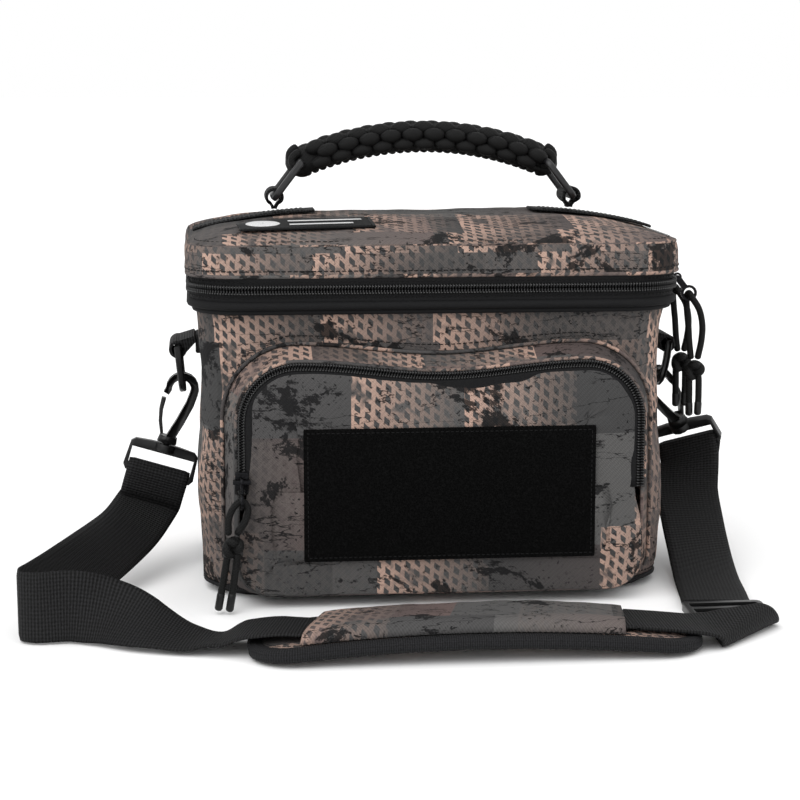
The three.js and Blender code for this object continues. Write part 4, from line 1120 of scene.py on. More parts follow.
@dataclass
class MainZip:
    """The coil zip round the front and sides, with its bindings."""

    half_x: float = 141.0
    half_y: float = 93.0
    corner: float = 34.0
    centre_y: float = -2.5
    back_y: float = 50.0
    z: float = 180.1

    def path(self, z: float, grow: float, back: float | None = None) -> list[Station]:
        """The closure's open path at a height, with outward normals."""
        x, y = self.half_x - self.corner, self.centre_y - self.half_y + self.corner
        radius = self.corner + grow
        end = self.back_y if back is None else back
        left, right = (-self.half_x - grow, end), (self.half_x + grow, end)
        turn_left, turn_right = quarter(-x, y, radius, 2, 16), quarter(x, y, radius, 3, 16)
        plan = [left, *straight(left, turn_left[0], 20), *turn_left]
        plan += straight(turn_left[-1], turn_right[0], 40)
        plan += [*turn_right, *straight(turn_right[-1], right, 20), right]
        made = []
        for i, at in enumerate(plan):
            a, b = plan[max(i - 1, 0)], plan[min(i + 1, len(plan) - 1)]
            made.append((V(at[0], at[1], z), V(b[1] - a[1], a[0] - b[0], 0).normalized()))
        return made

    def build(self) -> None:
        """Makes the coil's turns with pale bars on them as painted highlights, the seam stitches, the rolls
        below them and the cloth behind.
        """
        for half in ZipHalf:
            word, sign = half.name.lower(), half.value
            body = "lid" if half is ZipHalf.UPPER else "bag"
            coil = self.path(self.z + sign * 1.45, 0.25)
            turns = blocks(f"main_zip_{word}_turns", coil, 1.7, (1.25, 2.6, 1.9), 0.15, 0.12)
            finish(turns, "coil", body, [f"main_zip_{word}_coil"])
            # pale bars on top of the coil's turns: painted highlights where light glints on the coil
            line = self.path(self.z + sign * 1.9, 2.1)
            size = (0.75, 0.5, 0.35)
            sew(f"main_zip_{word}_painted_glints", line, 1.7, size, body, 0.05, "coil_glint_highlight")
            seam = self.path(self.z + sign * 4.6, 0.1)
            sew(f"main_zip_{word}_sewing", seam, 3.0, (2.1, 0.5, 0.3), body)
        for name, z, grow, radius in (("rim_roll", 171.0, -0.4, 2.6), ("rim_roll_low", 167.4, -2.6, 1.7)):
            roll = tube(name, [p for p, _ in self.path(z, grow, 51.5)], radius, 10)
            finish(roll, "tape", "bag")
        self.web()

    def web(self) -> None:
        """The flat cloth that joins the lower tape to the bag's rim, all the way round."""
        rings = (
            (136.4, 87.4, 33.0, 0.0, 168.9), (137.6, 89.4, 33.4, -0.8, 169.3),
            (139.2, 91.2, 33.8, -1.7, 169.5), (140.4, 92.4, 33.8, -2.5, 169.7),
        )
        rows = []
        for wide, deep, corner, middle, z in rings:
            rows.append([V(x, y, z) for x, y in rounded_box(wide, deep, corner, middle)])
        run = lengths(rows[0])
        web = grid("rim_web", rows, lambda i, j: (run[j], i * 2.0), closed=True)
        apply_modifier(web, "SOLIDIFY", thickness=1.0 * MM, offset=0.0)
        finish(web, "tape", "bag")


# ---------------------------------------------------------------- front pocket


@dataclass
class FrontPocket:
    """The arched front pocket with its own zip, gusset and soft patch."""

    half_x: float = 116.0
    bottom: float = 6.5
    top: float = 141.0
    corner: float = 34.0
    foot: float = 20.0
    dip: float = 6.0
    back_y: float = -89.8
    front_y: float = -109.5
    zip_end: float = 67.0

    def plan(self, grow: float) -> list[tuple[float, float]]:
        """The pocket's outline on X and Z, anticlockwise from the right."""
        x, z = self.half_x - self.corner, self.top - self.corner
        fx, fz = self.half_x - self.foot, self.bottom + self.foot
        arc = self.corner + grow
        foot = self.foot + grow
        dips = []
        for i in range(1, 48):
            t = i / 48
            dips.append((x * (1 - 2 * t), self.top + grow - self.dip * math.sin(math.pi * t) ** 2))
        right = quarter(x, z, arc, 0, 12)
        left = quarter(-x, z, arc, 1, 12)
        low_left = quarter(-fx, fz, foot, 2, 8)
        low_right = quarter(fx, fz, foot, 3, 8)
        made = right + dips + left + straight(left[-1], low_left[0], 14) + low_left
        made += straight(low_left[-1], low_right[0], 44) + low_right + straight(low_right[-1], right[0], 14)
        return made

    def arch(self, grow: float, y: float) -> list[Station]:
        """The part of the outline that the zip follows."""
        plan = [p for p in self.plan(grow) if p[1] >= self.zip_end]
        plan.sort(key=lambda p: math.atan2(p[1] - self.zip_end, p[0]))
        side = self.half_x + grow
        plan = [(side, self.zip_end), *plan, (-side, self.zip_end)]
        return [(V(x, y, z), V(0, -1, 0)) for x, z in plan]

    def wall(self, x: float) -> float:
        """Where the bag's front face lies at an X, just under its cloth."""
        past = max(0.0, abs(x) - 103.0)
        return self.back_y + 35.5 - math.sqrt(max(0.0, 34.0**2 - past**2))

    def drawn_in(self, inset: float) -> list[tuple[float, float]]:
        """The outline drawn in by an inset, but less below the zip's ends, where the panel is sewn down."""
        made = []
        for far, near in zip(self.plan(-inset), self.plan(4.2 - inset)):
            share = smooth(clamp01((far[1] - 44) / 22))
            made.append((lerp(near[0], far[0], share), lerp(near[1], far[1], share)))
        return made

    def build(self) -> None:
        """Makes the gusset, the swollen panel, the zip and the patch."""
        rows, steps = [], 9
        for i in range(steps + 1):
            t = i / steps
            grow = 7 * (1 - t) ** 1.6 + 1.2 * math.sin(math.pi * t)
            y = lerp(self.back_y + 0.8, self.front_y, t)
            rows.append([V(x, y, max(z, 6.1 + 0.4 * t)) for x, z in self.plan(grow)])
        rows.insert(0, [V(p.x, self.wall(p.x), p.z) for p in rows[0]])
        run = lengths(rows[-1])
        gusset = grid("pocket_side_cloth", rows, lambda i, j: (run[j], i * 2.3 + 210), closed=True)
        outwards(gusset)
        apply_modifier(gusset, "SOLIDIFY", thickness=1.4 * MM, offset=-1.0)
        finish(gusset, "camo", "bag", ["pocket_gusset"])

        base = [(V(x, self.back_y - 1.2, max(z, 6.4)), V(0, -1, 0)) for x, z in self.plan(8.0)]
        base = [p for p in base if p[0].z > 12]
        sewn_line = [p for p in base if p[0].z > 60 and abs(p[0].x) < 103]
        base.sort(key=lambda p: math.atan2(p[0].z - 12, p[0].x))
        roll = tube("pocket_root_seam", [p + V(0, 1.0, 0) for p, _ in base], 1.1, 8)
        finish(roll, "camo", "bag")
        sewn_line.sort(key=lambda p: p[0].x)
        outer = [(V(at.x, at.y + 1.4, at.z + 4.5), n) for at, n in sewn_line]
        sew("pocket_root_stitches", outer, 3.4, (2.4, 0.6, 0.35), "bag", 0.1)

        front = self.front_y - 1.8
        insets = ((5.2, 0.0), (5.3, 0.9), (6.4, 1.5), (11, 2.2), (18, 3.0), (28, 3.7), (40, 4.05), (52, 4.1))
        rows = [[V(x, front - rise, z) for x, z in self.drawn_in(inset)] for inset, rise in insets]
        rows.append([V(p.x * 0.97, p.y, 68) for p in rows[-1]])

        def cloth(i: int, j: int) -> tuple[float, float]:
            """The panel is cut flat, from a place of its own on the print."""
            at = rows[i][j % len(rows[i])]
            return at.x + 310, at.z

        panel = outwards(grid("pocket_front_cloth", rows, cloth, closed=True))
        soften(panel, 1.1, 40.0, 21.0, lambda p: smooth(clamp01((front - p.y) / 2.5)))
        apply_modifier(panel, "SOLIDIFY", thickness=1.2 * MM, offset=-1.0, use_even_offset=False)
        finish(panel, "camo", "pocket_flap", ["pocket_panel"])

        coil_y = self.front_y - 1.8
        for name, grow, body, sign in (("outer", -1.1, "bag", 1), ("inner", -3.5, "pocket_flap", -1)):
            coil = self.arch(grow, coil_y)
            turns = blocks(f"pocket_zip_{name}_turns", coil, 1.6, (1.15, 2.2, 1.8), 0.05, 0.1)
            finish(turns, "coil", body, [f"pocket_zip_{name}_coil"])
            # pale bars on top of the coil's turns: painted highlights where light glints on the coil
            line = self.arch(grow + sign * 0.3, coil_y)
            size = (0.7, 0.45, 0.3)
            sew(f"pocket_zip_{name}_painted_glints", line, 1.6, size, body, 1.75, "coil_glint_highlight")
        rolled = []
        line = [p for p, _ in self.arch(-7.7, self.front_y - 2.6)]
        for i, at in enumerate(line):
            along = heading(line, i)
            rolled.append((at, V(along.z, 0, -along.x)))
        roll = band("pocket_tape_roll", rolled, 6.6, 1.5, 8)
        finish(roll, "tape", "pocket_flap")
        rim = tube("pocket_gusset_fold", [p for p, _ in self.arch(0.3, self.front_y - 0.4)], 1.3, 8)
        finish(rim, "camo", "bag")
        self.patch()

    def patch(self) -> None:
        """The loop-pile patch with its rounded edge and its stitches."""
        low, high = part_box("patch_panel")
        x0, x1, z0, z1 = low[0] / MM, high[0] / MM, low[2] / MM, high[2] / MM
        front = low[1] / MM
        bpy.ops.object.select_all(action="DESELECT")
        bpy.ops.mesh.primitive_cube_add(size=1, location=(0, 0, 0))
        made = bpy.context.active_object
        made.name = "soft_patch"
        for vertex in made.data.vertices:
            x = lerp(x0, x1, vertex.co.x + 0.5)
            z = lerp(z0, z1, vertex.co.z + 0.5)
            y = lerp(front, high[1] / MM + 0.1, vertex.co.y + 0.5)
            vertex.co = V(x, y, z) * MM
        apply_modifier(made, "BEVEL", width=0.9 * MM, segments=3, limit_method="ANGLE")
        finish(made, "pile", "pocket_flap", ["patch_panel"], sharp=40)
        margin = 2.4
        left, right, foot, head = x0 + margin, x1 - margin, z0 + margin, z1 - margin
        corners = [(left, foot), (right, foot), (right, head), (left, head), (left, foot)]
        run = [(V(x, front, z), V(0, -1, 0)) for x, z in corners]
        sew("patch_stitches", run, 2.8, (2.0, 0.5, 0.3), "pocket_flap", -0.1, "label")


# ---------------------------------------------------------------- carry handle


@dataclass
class CarryHandle:
    """The grip woven from cord on a shallow arc, with its rings and webbing loops."""

    radius: float = 191.0
    top_z: float = 263.2
    half_angle: float = 24.4
    pitch: float = 12.9
    neck_x: float = 90.0

    def place(self, along: float, y: float, out: float) -> Vector:
        """A point from its length along the arc, its Y and its height off the arc's middle line."""
        turn = along / self.radius
        reach = self.radius + out
        return V(reach * math.sin(turn), y, self.top_z - self.radius + reach * math.cos(turn))

    def bump(self) -> bpy.types.Object:
        """One turn of cord, as a plump bead that is copied along the weave."""
        bpy.ops.object.select_all(action="DESELECT")
        bpy.ops.mesh.primitive_uv_sphere_add(segments=14, ring_count=9, radius=1.0)
        return bpy.context.active_object

    def build(self) -> None:
        """Weaves the grip: a core, rows of plump turns, and the fine beads underneath."""
        bead = self.bump()
        shape = [v.co.copy() for v in bead.data.vertices]
        sides = [tuple(p.vertices) for p in bead.data.polygons]
        bpy.data.objects.remove(bead)
        half = math.radians(self.half_angle) * self.radius
        points: Row = []
        faces: list = []

        def add(along: float, y: float, out: float, size: Sequence[float], yaw: float, roll: float) -> None:
            """One bead at its place in the weave."""
            first = len(points)
            turn = Matrix.Rotation(roll, 3, "X") @ Matrix.Rotation(yaw, 3, "Z")
            for p in shape:
                q = turn @ Vector((p.x * size[0], p.y * size[1], p.z * size[2]))
                points.append(self.place(along + q.x, y + q.y, out + q.z))
            faces.extend(tuple(first + k for k in side) for side in sides)

        count = int(2 * half / self.pitch)
        start = -count * self.pitch / 2
        for k in range(count + 1):
            at = start + k * self.pitch
            taper = 0.86 if k in (0, count) else 1.0
            for face in (-1, 1):
                late = at + (self.pitch / 2 if face > 0 else 0.0)
                if abs(late) > half - 4:
                    continue
                add(late, face * 5.6, 4.6 * taper, (6.7, 5.0, 4.6), face * 0.42, face * -0.15)
                # near the far end the outer turn leans back, so that it stays on the grip
                lean = 1 if late < half - 10 else -0.4
                add(late + self.pitch * 0.45 * lean, face * 11.6, 0.9, (6.5, 3.9, 4.2), 0.0, face * -0.5)
                add(late, face * 11.4 * taper, -4.4, (6.6, 3.5, 3.6), 0.0, face * 0.35)
                if late < half - 12:
                    add(late + self.pitch * 0.5, face * 6.0, -6.4, (6.4, 4.6, 2.6), face * -0.5, 0.0)
        fine = 5.0
        for k in range(int(2 * (half - 5) / fine)):
            at = -half + 7 + k * fine
            for y in (-3.4, 3.4):
                add(at, y, -8.1, (2.5, 2.6, 2.0), 0.0, 0.0)
        weave = link_mesh("woven_grip", points, faces)
        finish(weave, "cord", "handle", ["handle_grip"])

        core = [self.place(lerp(-half + 2, half - 2, i / 40), 0, -0.5) for i in range(41)]
        heart = tube("woven_grip_core", core, 9.6, 16, 0.62)
        finish(heart, "cord", "handle")
        for side in Side:
            sign = side.value
            for k, (y, out) in enumerate(((-6, 1), (6, 1), (0, 4), (0, -3.5))):
                wrap = []
                for a in (math.pi * i / 10 for i in range(11)):
                    along = sign * (half - 6 + 5.5 * math.sin(a))
                    wrap.append(self.place(along, y + 0.6 * math.cos(a), out + 4.2 * math.cos(a)))
                turn = tube(f"grip_end_turn_{side.word}_{k}", wrap, 2.5, 10)
                finish(turn, "cord", "handle")
            self.foot(side)

    def foot(self, side: Side) -> None:
        """The flat moulded ring and the webbing loop at one end."""
        word, sign = side.word, side.value
        refined(f"handle_ring_{word}", "ring_plastic", "handle", 0.5)
        centre = V(sign * self.neck_x, 0, 227.2)
        rows = []
        for i in range(33):
            turn = math.radians(-62 + 304 * i / 32)
            swing = smooth(clamp01(min(i, 32 - i) / 5))
            reach = 4.7
            x, z = reach * math.cos(turn), reach * math.sin(turn)
            width = lerp(5.2, 11.9, swing)
            rows.append((centre + V(x, 0, z), width))
        neck = [(centre + V(0.8, 0, -7.4), 4.6), (centre + V(1.0, 0, -6.0), 4.8)]
        tail = [(centre + V(-1.0, 0, -6.0), 4.8), (centre + V(-0.8, 0, -7.4), 4.6)]
        run = neck + rows + tail
        centres = [at for at, _ in run]
        made_rows = []
        for i, (at, width) in enumerate(run):
            along = heading(centres, i)
            out = along.cross(V(0, 1, 0)) * 0.85
            ys = [width * (2 * j / 8 - 1) for j in range(9)]
            outer = [at + V(0, y, 0) + out for y in ys]
            made_rows.append(outer + [at + V(0, y, 0) - out for y in reversed(ys)])
        length = lengths(centres)

        def cloth(i: int, j: int) -> tuple[float, float]:
            """Length along the loop and place across it, the same on both of its faces."""
            k = j % 18
            return length[i], (k if k < 9 else 17 - k) * 3.0

        loop = outwards(grid(f"handle_loop_cloth_{word}", made_rows, cloth, closed=True, caps=True))
        finish(loop, "webbing", "handle", [f"handle_loop_{word}"])


# ---------------------------------------------------------------- shoulder strap


@dataclass
class ShoulderStrap:
    """The webbing strap: round the left bar, through the pad, over a fold and up in two layers."""

    width: float = 38.0
    thick: float = 1.8
    wrap: float = 4.7
    pad_x: float = 7.0
    pad_y: float = -203.0
    fold_x: float = 154.0

    LEFT = (
        (-178, -22, 31, 0.86, -0.2, -0.47), (-190, -54, 26, 0.72, -0.28, -0.64),
        (-204, -90, 22.4, 0.48, -0.22, -0.85), (-218, -124, 20.6, 0.24, -0.1, -0.97),
        (-229, -150, 20.2, 0.08, -0.03, -1), (-234, -162, 20.2, 0.02, 0, -1),
        (-233, -170.5, 20.2, 0, 0, -1), (-225, -174.5, 20.2, 0, -0.04, -1),
        (-205, -171, 19.8, 0, -0.2, -0.98), (-186, -171.5, 16.4, 0, -0.62, -0.78),
        (-164, -180, 10.2, 0, -0.9, -0.44), (-144, -186, 4.6, 0, -0.99, -0.12),
        (-128, -190, 5, 0, -0.99, 0.1), (-115, -194, 10.4, 0, -1, 0.03),
        (-98, -199, 13.4, 0, -1, 0), (-80, -203, 13.5, 0, -1, 0),
    )
    RIGHT = (
        (154, -172, 2.9, 1, 0, 0), (154, -138, 2.9, 1, 0, 0), (157, -114, 3.4, 1, 0, 0),
        (160, -86, 6, 0.99, 0, -0.04), (163, -57, 13.4, 0.98, -0.03, -0.08),
        (165, -28, 27.5, 0.98, -0.1, -0.06), (167, -4, 43, 0.94, -0.22, 0.05),
    )

    def over_pad(self, x: float) -> float:
        """Height of the strap's middle inside the pad's sleeve."""
        return 7.0 * max(0.0, 1 - ((x - self.pad_x) / 119.0) ** 2) + 9.9

    def run(self, rows: Sequence[Sequence[float]], steps: int) -> list[Station]:
        """A smooth run through rows of a centre and a cross direction."""
        centres = catmull([V(*r[:3]) for r in rows], steps)
        across = catmull([V(*r[3:]) for r in rows], steps)
        return [(c, a.normalized()) for c, a in zip(centres, across)]

    def bar(self, side: Side) -> tuple[Vector, Vector]:
        """Centre and direction of the bar at the foot of a strap frame."""
        if side is Side.LEFT:
            return V(-162.68, 0, 58.47), V(0.958, 0, -0.287).normalized()
        return V(173.5, 19.96, 67.21), V(0.84, -0.45, 0.3).normalized()

    def wrapped(self, side: Side, leaving: Vector, turns: int = 12) -> list[Station]:
        """Half a turn round a bar."""
        at, across = self.bar(side)
        normal = across.cross(leaving).normalized()
        made = []
        for i in range(turns + 1):
            angle = math.pi * i / turns
            over, back = self.wrap * math.cos(angle), self.wrap * math.sin(angle)
            made.append((at - normal * over - leaving * back, across))
        return made

    def folded(self, s: float, w: float) -> Vector:
        """A point of the diagonal fold, from its length along the strap and its place across it."""
        past, along = (s - w) / math.sqrt(2), (s + w) / math.sqrt(2)
        radius = lerp(2.2, 7.4, clamp01(0.5 + along / (self.width * math.sqrt(2))))
        turn = clamp01((past + radius) / (math.pi * radius)) * math.pi
        if turn <= 0:
            reach = past
        elif turn >= math.pi:
            reach = (math.pi - 2) * radius - past
        else:
            reach = radius * (math.sin(turn) - 1)
        x, y = self.fold_x + (along + reach) / math.sqrt(2), self.pad_y + (along - reach) / math.sqrt(2)
        return V(x, y, 1.3 + radius * (1 + math.cos(turn)))

    def build(self) -> None:
        """Makes the long run, the returning layer and their seams."""
        at, across = self.bar(Side.LEFT)
        leaving = V(-0.3, 0, -1).normalized()
        normal = across.cross(leaving).normalized()

        def below(drop: float, offset: float) -> Station:
            """A station under the left bar, shifted to one side."""
            return at + leaving * drop + normal * offset, across

        loop = [below(18, -1.6), below(11, -2.2), below(4.5, -3.9), *self.wrapped(Side.LEFT, leaving)]
        loop += [below(4.5, 3.9), below(11, 1.8), below(18, 1)]
        last = loop[-1]
        rows = [(*last[0], *last[1]), *self.LEFT]
        left = loop + self.run(rows, 150)[1:]
        for x in (lerp(-74, 92, i / 40) for i in range(41)):
            left.append((V(x, self.pad_y, self.over_pad(x)), V(0, -1, 0)))
        long = band("strap_long_run", left, self.width, self.thick, 12)
        finish(long, "webbing", "bag", ["shoulder_strap"])
        self.fold()
        self.right()
        short = loop[0][0] + leaving * -3 + normal * -1.4
        ends = [(short + across * -17, normal * -1), (short + across * 17, normal * -1)]
        sew("strap_end_stitches", ends, 2.6, (2.0, 0.6, 0.35), "bag", 0.3)

    def fold(self) -> None:
        """The fold where the strap turns under itself beyond the pad."""
        count, columns = 110, 24
        rows = []
        for i in range(count + 1):
            s = lerp(-64, 38, i / count)
            to_pad = smooth(clamp01((-8 - s) / 24))
            row = []
            for j in range(columns + 1):
                point = self.folded(s, lerp(-self.width / 2, self.width / 2, j / columns))
                point.z = lerp(point.z, self.over_pad(self.fold_x + min(s, -30)), to_pad)
                row.append(point)
            rows.append(row)
        turned = grid("strap_fold", rows, lambda i, j: (i * 0.93, j * self.width / columns))
        apply_modifier(turned, "SOLIDIFY", thickness=self.thick * MM, offset=0.0, use_even_offset=False)
        finish(turned, "webbing", "bag")

    def right(self) -> None:
        """The two layers that climb to the right hook."""
        at, across = self.bar(Side.RIGHT)
        leaving = V(*self.RIGHT[-1][:3]) - at
        leaving = (leaving - across * leaving.dot(across)).normalized()
        wrap = self.wrapped(Side.RIGHT, leaving)[::-1]
        below = at + leaving * 11
        run = self.run([*self.RIGHT, (*below, *across)], 90)

        def layer(part: Sequence[Station], side: float) -> list[Station]:
            """The run shifted to one side of its middle line."""
            made = []
            for i, (centre, cross) in enumerate(part):
                along = part[min(i + 1, len(part) - 1)][0] - part[max(i - 1, 0)][0]
                normal = cross.cross(along).normalized()
                made.append((centre + normal * (side * 1.55), cross))
            return made

        rising = layer(run, -1) + wrap[:7]
        lower = band("strap_rising_layer", rising, self.width, self.thick, 12)
        finish(lower, "webbing", "bag")
        falling = wrap[7:] + layer(run[14:], 1)[::-1]
        upper = band("strap_falling_layer", falling, self.width, self.thick, 12)
        finish(upper, "webbing", "bag", ["strap_return"])


@dataclass
class ShoulderPad:
    """The padded sleeve on the strap: bound foam under a crowned cover of printed cloth."""

    x: float = 7.0
    y: float = -203.0
    half_x: float = 119.0
    half_y: float = 31.0
    corner: float = 24.0
    rise: float = 7.0

    def arch(self, x: float) -> float:
        """How far the pad's middle lifts off the floor at a place along it."""
        return self.rise * max(0.0, 1 - ((x - self.x) / self.half_x) ** 2)

    def outline(self, inset: float) -> list[tuple[float, float]]:
        """The pad's outline on the plan, drawn in by an inset."""
        corner = max(3.0, self.corner - inset)
        plan = rounded_box(self.half_x - inset, self.half_y - inset, corner, 0.0, 10)
        return [(self.x + x, self.y + y) for x, y in plan]

    def build(self) -> None:
        """Makes the cushion, its binding and the cloth cover."""
        levels = (
            (2.0, 1.6), (0.8, 2.6), (0.5, 4.0), (0.9, 5.4), (2.4, 6.3),
            (7, 7.0), (14, 7.5), (22, 7.8), (28, 7.9),
        )
        rows = [[V(x, y, self.arch(x) + z) for x, y in self.outline(inset)] for inset, z in levels]
        under = [[V(x, y, self.arch(x) + 1.6) for x, y in self.outline(inset)] for inset in (26, 12, 4)]
        every = under + rows

        def cloth(i: int, j: int) -> tuple[float, float]:
            """The pad's cloth is cut flat, from a place of its own on the print."""
            at = every[i][j % len(every[i])]
            return at.x + 120, at.y + 420

        foam = outwards(grid("pad_foam_body", every, cloth, closed=True, caps=True))
        finish(foam, "camo", "pad", ["pad_cushion"])

        rim = []
        for x, y in self.outline(3.2):
            rim.append(V(x, y, self.arch(x) + 4.1))
        ring = []
        count = len(rim)
        for i, at in enumerate(rim):
            along = (rim[(i + 1) % count] - rim[i - 1]).normalized()
            out = V(along.y, -along.x, 0).normalized()
            section = []
            for j in range(14):
                turn = 2 * math.pi * j / 14
                reach = math.copysign(4.6 * abs(math.cos(turn)) ** 0.6, math.cos(turn))
                high = math.copysign(3.7 * abs(math.sin(turn)) ** 0.7, math.sin(turn))
                section.append(at + out * reach + V(0, 0, high))
            ring.append(section)
        ring.append([p.copy() for p in ring[0]])
        run = lengths(rim)
        edge = grid("pad_edge_binding", ring, lambda i, j: (run[min(i, count)], j * 2.0), closed=True)
        outwards(edge)
        finish(edge, "binding", "pad", ["pad_binding"])
        seam = [(V(x, y, self.arch(x) + 8.1), V(0, 0, 1)) for x, y in self.outline(6.4)]
        sew("pad_edge_stitches", [*seam, seam[0]], 2.9, (2.1, 0.5, 0.3), "pad", -0.15)
        self.cover()

    def cover(self) -> None:
        """The printed cover over the strap, with slanted, stitched ends."""
        rows = []
        for i in range(61):
            t = i / 60
            row = []
            for j in range(25):
                w = 2 * j / 24 - 1
                x = lerp(-78 + 9 * w, 86 + 3 * w, t)
                crown = 6.6 * max(0.0, 1 - abs(w) ** 6.0) ** 0.8
                ends = 1 - 0.12 * (2 * t - 1) ** 6
                row.append(V(x, self.y + w * 23.4, self.arch(x) + 7.4 + crown * ends))
            rows.append(row)
        made = grid("pad_cover_cloth", rows, lambda i, j: (i * 2.67 + 20, j * 2.2 + 150))
        soften(made, 0.8, 30.0, 31.0, lambda p: 1.0 if abs(p.y + 203) < 18 else 0.2)
        apply_modifier(made, "SOLIDIFY", thickness=0.9 * MM, offset=-1.0, use_even_offset=False)
        finish(made, "camo", "pad", ["pad_sleeve"])
        for name, column in (("left", 1), ("right", -2)):
            line = [(p + V(0, 0, 0.25), V(0, 0, 1)) for p in rows[column]]
            sew(f"pad_cover_stitches_{name}", line, 2.9, (2.1, 0.5, 0.3), "pad")


# ---------------------------------------------------------------- cord pulls


@dataclass
class CordPull:
    """A loop of braided cord through a zip puller, with its knot and two tails."""

    name: str
    body: str
    loop: tuple
    knot: tuple[float, float, float]
    tails: tuple
    shift: float = 0.0

    def at(self, p: Sequence[float]) -> Vector:
        """A point of the pull, moved along Y to its slider."""
        return V(p[0], p[1] + self.shift, p[2])

    def build(self) -> None:
        """Makes the loop, the knot's turns and the tails with their sealed tips."""
        path = catmull([self.at(p) for p in self.loop], 40)
        cord = tube(f"braided_loop_{self.name}", path, 2.0, 10)
        finish(cord, "cord", self.body, [f"pull_cord_{self.name}"])
        centre = self.at(self.knot)
        points: Row = []
        for i in range(73):
            t = 2 * math.pi * i / 72
            x, z = 2.9 * math.sin(2 * t) + 1.1 * math.sin(t), 2.9 * math.cos(2 * t) + 1.3 * math.sin(t)
            points.append(centre + V(x, 2.5 * math.cos(3 * t), z))
        knot = tube(f"braided_knot_{self.name}", points, 2.55, 10)
        finish(knot, "cord", self.body, [f"pull_knot_{self.name}"])
        for k, tail in enumerate(self.tails):
            run = catmull([lerp(centre, self.at(tail[0]), 0.3), *[self.at(p) for p in tail]], 18)
            strand = tube(f"braided_tail_{self.name}_{k}", run, 2.05, 10)
            tip = tube(f"sealed_tip_{self.name}_{k}", run[-4:], 2.3, 10)
            finish(strand, "cord", self.body)
            finish(tip, "plastic", self.body)
        length = lengths(path)[len(path) - 1] * MM


MAIN_LOOP = (
    (162.6, 0, 131.4), (164.4, -0.6, 141), (164.6, -1.8, 151), (162, -3.4, 161), (157.6, -3, 168),
    (156.4, 0, 170.4), (155.8, 3, 168), (156.2, 3.4, 160), (157, 2, 150), (157.4, 0.8, 141),
    (158.4, 0, 131.4),
)
MAIN_TAILS = (
    ((158.2, 0, 122), (157.8, 0, 110), (158.2, 1, 97)),
    ((162.8, 0, 122), (163.6, 0, 110), (163, -1, 97.6)),
)
POCKET_LOOP = (
    (-121.6, -121.4, 46.6), (-121.4, -121, 54), (-118.6, -120.6, 61), (-113.7, -120.2, 64.6),
    (-110.6, -120.4, 60.6), (-111.8, -121, 54), (-116.6, -121.4, 46.6),
)
POCKET_TAILS = (
    ((-121.4, -121.6, 36), (-124.6, -121, 20), (-127.6, -120, 3.4)),
    ((-117.2, -121.6, 36), (-118.6, -121.4, 20), (-121.4, -121, 2.8)),
)


def build_pulls() -> None:
    """Makes the three cord pulls."""
    CordPull("front", "front_pull", MAIN_LOOP, (160.5, 0, 124), MAIN_TAILS, -42).build()
    CordPull("rear", "rear_pull", MAIN_LOOP, (160.5, 0, 124), MAIN_TAILS, -6).build()
    CordPull("pocket", "pocket_pull", POCKET_LOOP, (-119, -121.6, 39), POCKET_TAILS).build()


def build_tab_roots() -> None:
    """Sews each side tab down: the folded webbing between the tab and the bag's side."""
    for side in Side:
        low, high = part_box(f"side_tab_{side.word}")
        inner = min(abs(low[0]), abs(high[0])) / MM
        y0, y1, z0, z1 = low[1] / MM + 0.6, high[1] / MM - 0.6, low[2] / MM + 3.0, high[2] / MM - 0.6
        rows = []
        for x, ease in ((133.0, 0.0), (inner + 0.2, 0.0), (inner + 1.0, 0.8)):
            near, far, foot, head = y0 + ease, y1 - ease, z0 + ease, z1 - ease
            corners = ((near, foot), (far, foot), (far, head), (near, head))
            rows.append([V(side.value * x, y, z) for y, z in corners])
        name = f"side_tab_root_{side.word}"
        root = outwards(grid(name, rows, lambda i, j: (i * 3.0, j * 20.0), closed=True, caps=True))
        finish(root, "webbing", "bag")


def build_hardware() -> None:
    """Eases the edges of the moulded and plated pieces and gives them their finish."""
    for side in Side:
        word = side.word
        ring = refined(f"d_ring_{word}", "plastic", f"{word}_d_ring", 0.4)
        # ring and hook are drawn in a little, so that they stay clear at the ends of the hook's swivel
        apply_modifier(ring, "DISPLACE", strength=-RING_DRAWN_IN * MM, mid_level=0.0)
        hook = refined(f"hook_{word}", "plastic", f"{word}_hook", 0.4)
        apply_modifier(hook, "DISPLACE", strength=-HOOK_DRAWN_IN * MM, mid_level=0.0)
        refined(f"hook_gate_{word}", "plastic", f"{word}_gate", 0.3)
        refined(f"strap_frame_{word}", "plastic", "bag", 0.7)
    refined("strap_adjuster", "plastic", "adjuster", 0.6)
    for name in ("front", "rear"):
        refined(f"zip_slider_{name}", "metal", f"{name}_slider", 0.35)
        refined(f"zip_puller_{name}", "metal", f"{name}_pull", 0.25)
    refined("pocket_slider", "metal", "pocket_zip_slider", 0.35)
    refined("pocket_puller", "metal", "pocket_pull", 0.25)


# ---------------------------------------------------------------- stage


def build_camera() -> None:
    """The camera: a long lens, a little above the bag and to its left."""
    data = bpy.data.cameras.new("studio_camera")
    data.sensor_width = 36.0
    data.lens = 94.8
    data.clip_start, data.clip_end = 0.05, 20.0
    made = bpy.data.objects.new("studio_camera", data)
    bpy.context.scene.collection.objects.link(made)
    made.location = (-0.1364, -1.2768, 0.3046)
    aim = Vector((-0.0134, 0.0013, 0.1012)) - made.location
    made.rotation_mode = "QUATERNION"
    made.rotation_quaternion = aim.to_track_quat("-Z", "Y")
    bpy.context.scene.camera = made


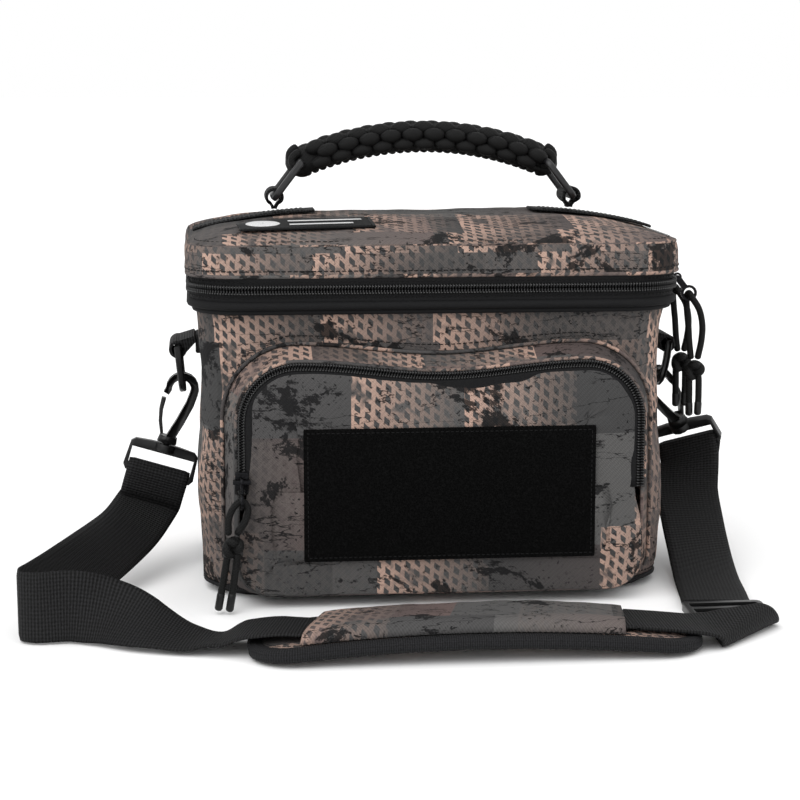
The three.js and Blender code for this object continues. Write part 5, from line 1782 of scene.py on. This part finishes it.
def area_light(name: str, place: Sequence[float], size: tuple[float, float], power: float) -> None:
    """A soft box aimed at the bag.

    Args:
        name: the light's name.
        place: where it hangs.
        size: its width and height.
        power: its power in watts.
    """
    data = bpy.data.lights.new(name, "AREA")
    data.shape = "RECTANGLE"
    data.size, data.size_y = size
    data.energy = power
    made = bpy.data.objects.new(name, data)
    bpy.context.scene.collection.objects.link(made)
    made.location = place
    made.rotation_mode = "QUATERNION"
    made.rotation_quaternion = (Vector((0, -0.05, 0.1)) - made.location).to_track_quat("-Z", "Y")


def soft_sun(name: str, place: Sequence[float], power: float, spread: float) -> None:
    """A wide, soft sun that shines from a place toward the bag."""
    data = bpy.data.lights.new(name, "SUN")
    data.energy = power
    data.angle = spread
    made = bpy.data.objects.new(name, data)
    bpy.context.scene.collection.objects.link(made)
    made.rotation_mode = "QUATERNION"
    made.rotation_quaternion = (-Vector(place)).to_track_quat("-Z", "Y")


def build_stage() -> None:
    """A pale floor, a white surround and soft studio lights."""
    bpy.ops.object.select_all(action="DESELECT")
    bpy.ops.mesh.primitive_plane_add(size=60, location=(0, 0, -0.0002))
    floor = bpy.context.active_object
    floor.name = "studio_floor"
    material, tree, shader = blank("matt_white_floor")
    values = {"Base Color": (0.95, 0.95, 0.95, 1), "Roughness": 0.95, "Specular IOR Level": 0.1}
    finish_shader(tree, shader, {}, values)
    floor.data.materials.append(material)
    world = bpy.context.scene.world or bpy.data.worlds.new("studio_surround")
    bpy.context.scene.world = world
    world.use_nodes = True
    ground = world.node_tree.nodes["Background"]
    ground.inputs["Color"].default_value = (1, 1, 1, 1)
    ground.inputs["Strength"].default_value = 1.0
    soft_sun("key_sun", (-0.8, -1.1, 1.6), 1.1, 0.9)
    soft_sun("fill_sun", (1.4, -0.9, 0.9), 0.25, 1.2)
    area_light("front_box", (-0.9, -1.5, 0.9), (0.9, 1.2), 5)
    bpy.context.scene.view_settings.view_transform = "Standard"


def main() -> None:
    """Builds every sub-assembly in order."""
    logging.basicConfig(level=logging.INFO, format="%(message)s")
    build_camera()
    build_finishes()
    build_pulls()
    for part in (BagBody(), Lid(), MainZip(), FrontPocket(), CarryHandle(), ShoulderStrap(), ShoulderPad()):
        LOG.info("building %s", type(part).__name__)
        part.build()
    build_hardware()
    build_tab_roots()
    build_stage()


if __name__ == "__main__":
    main()
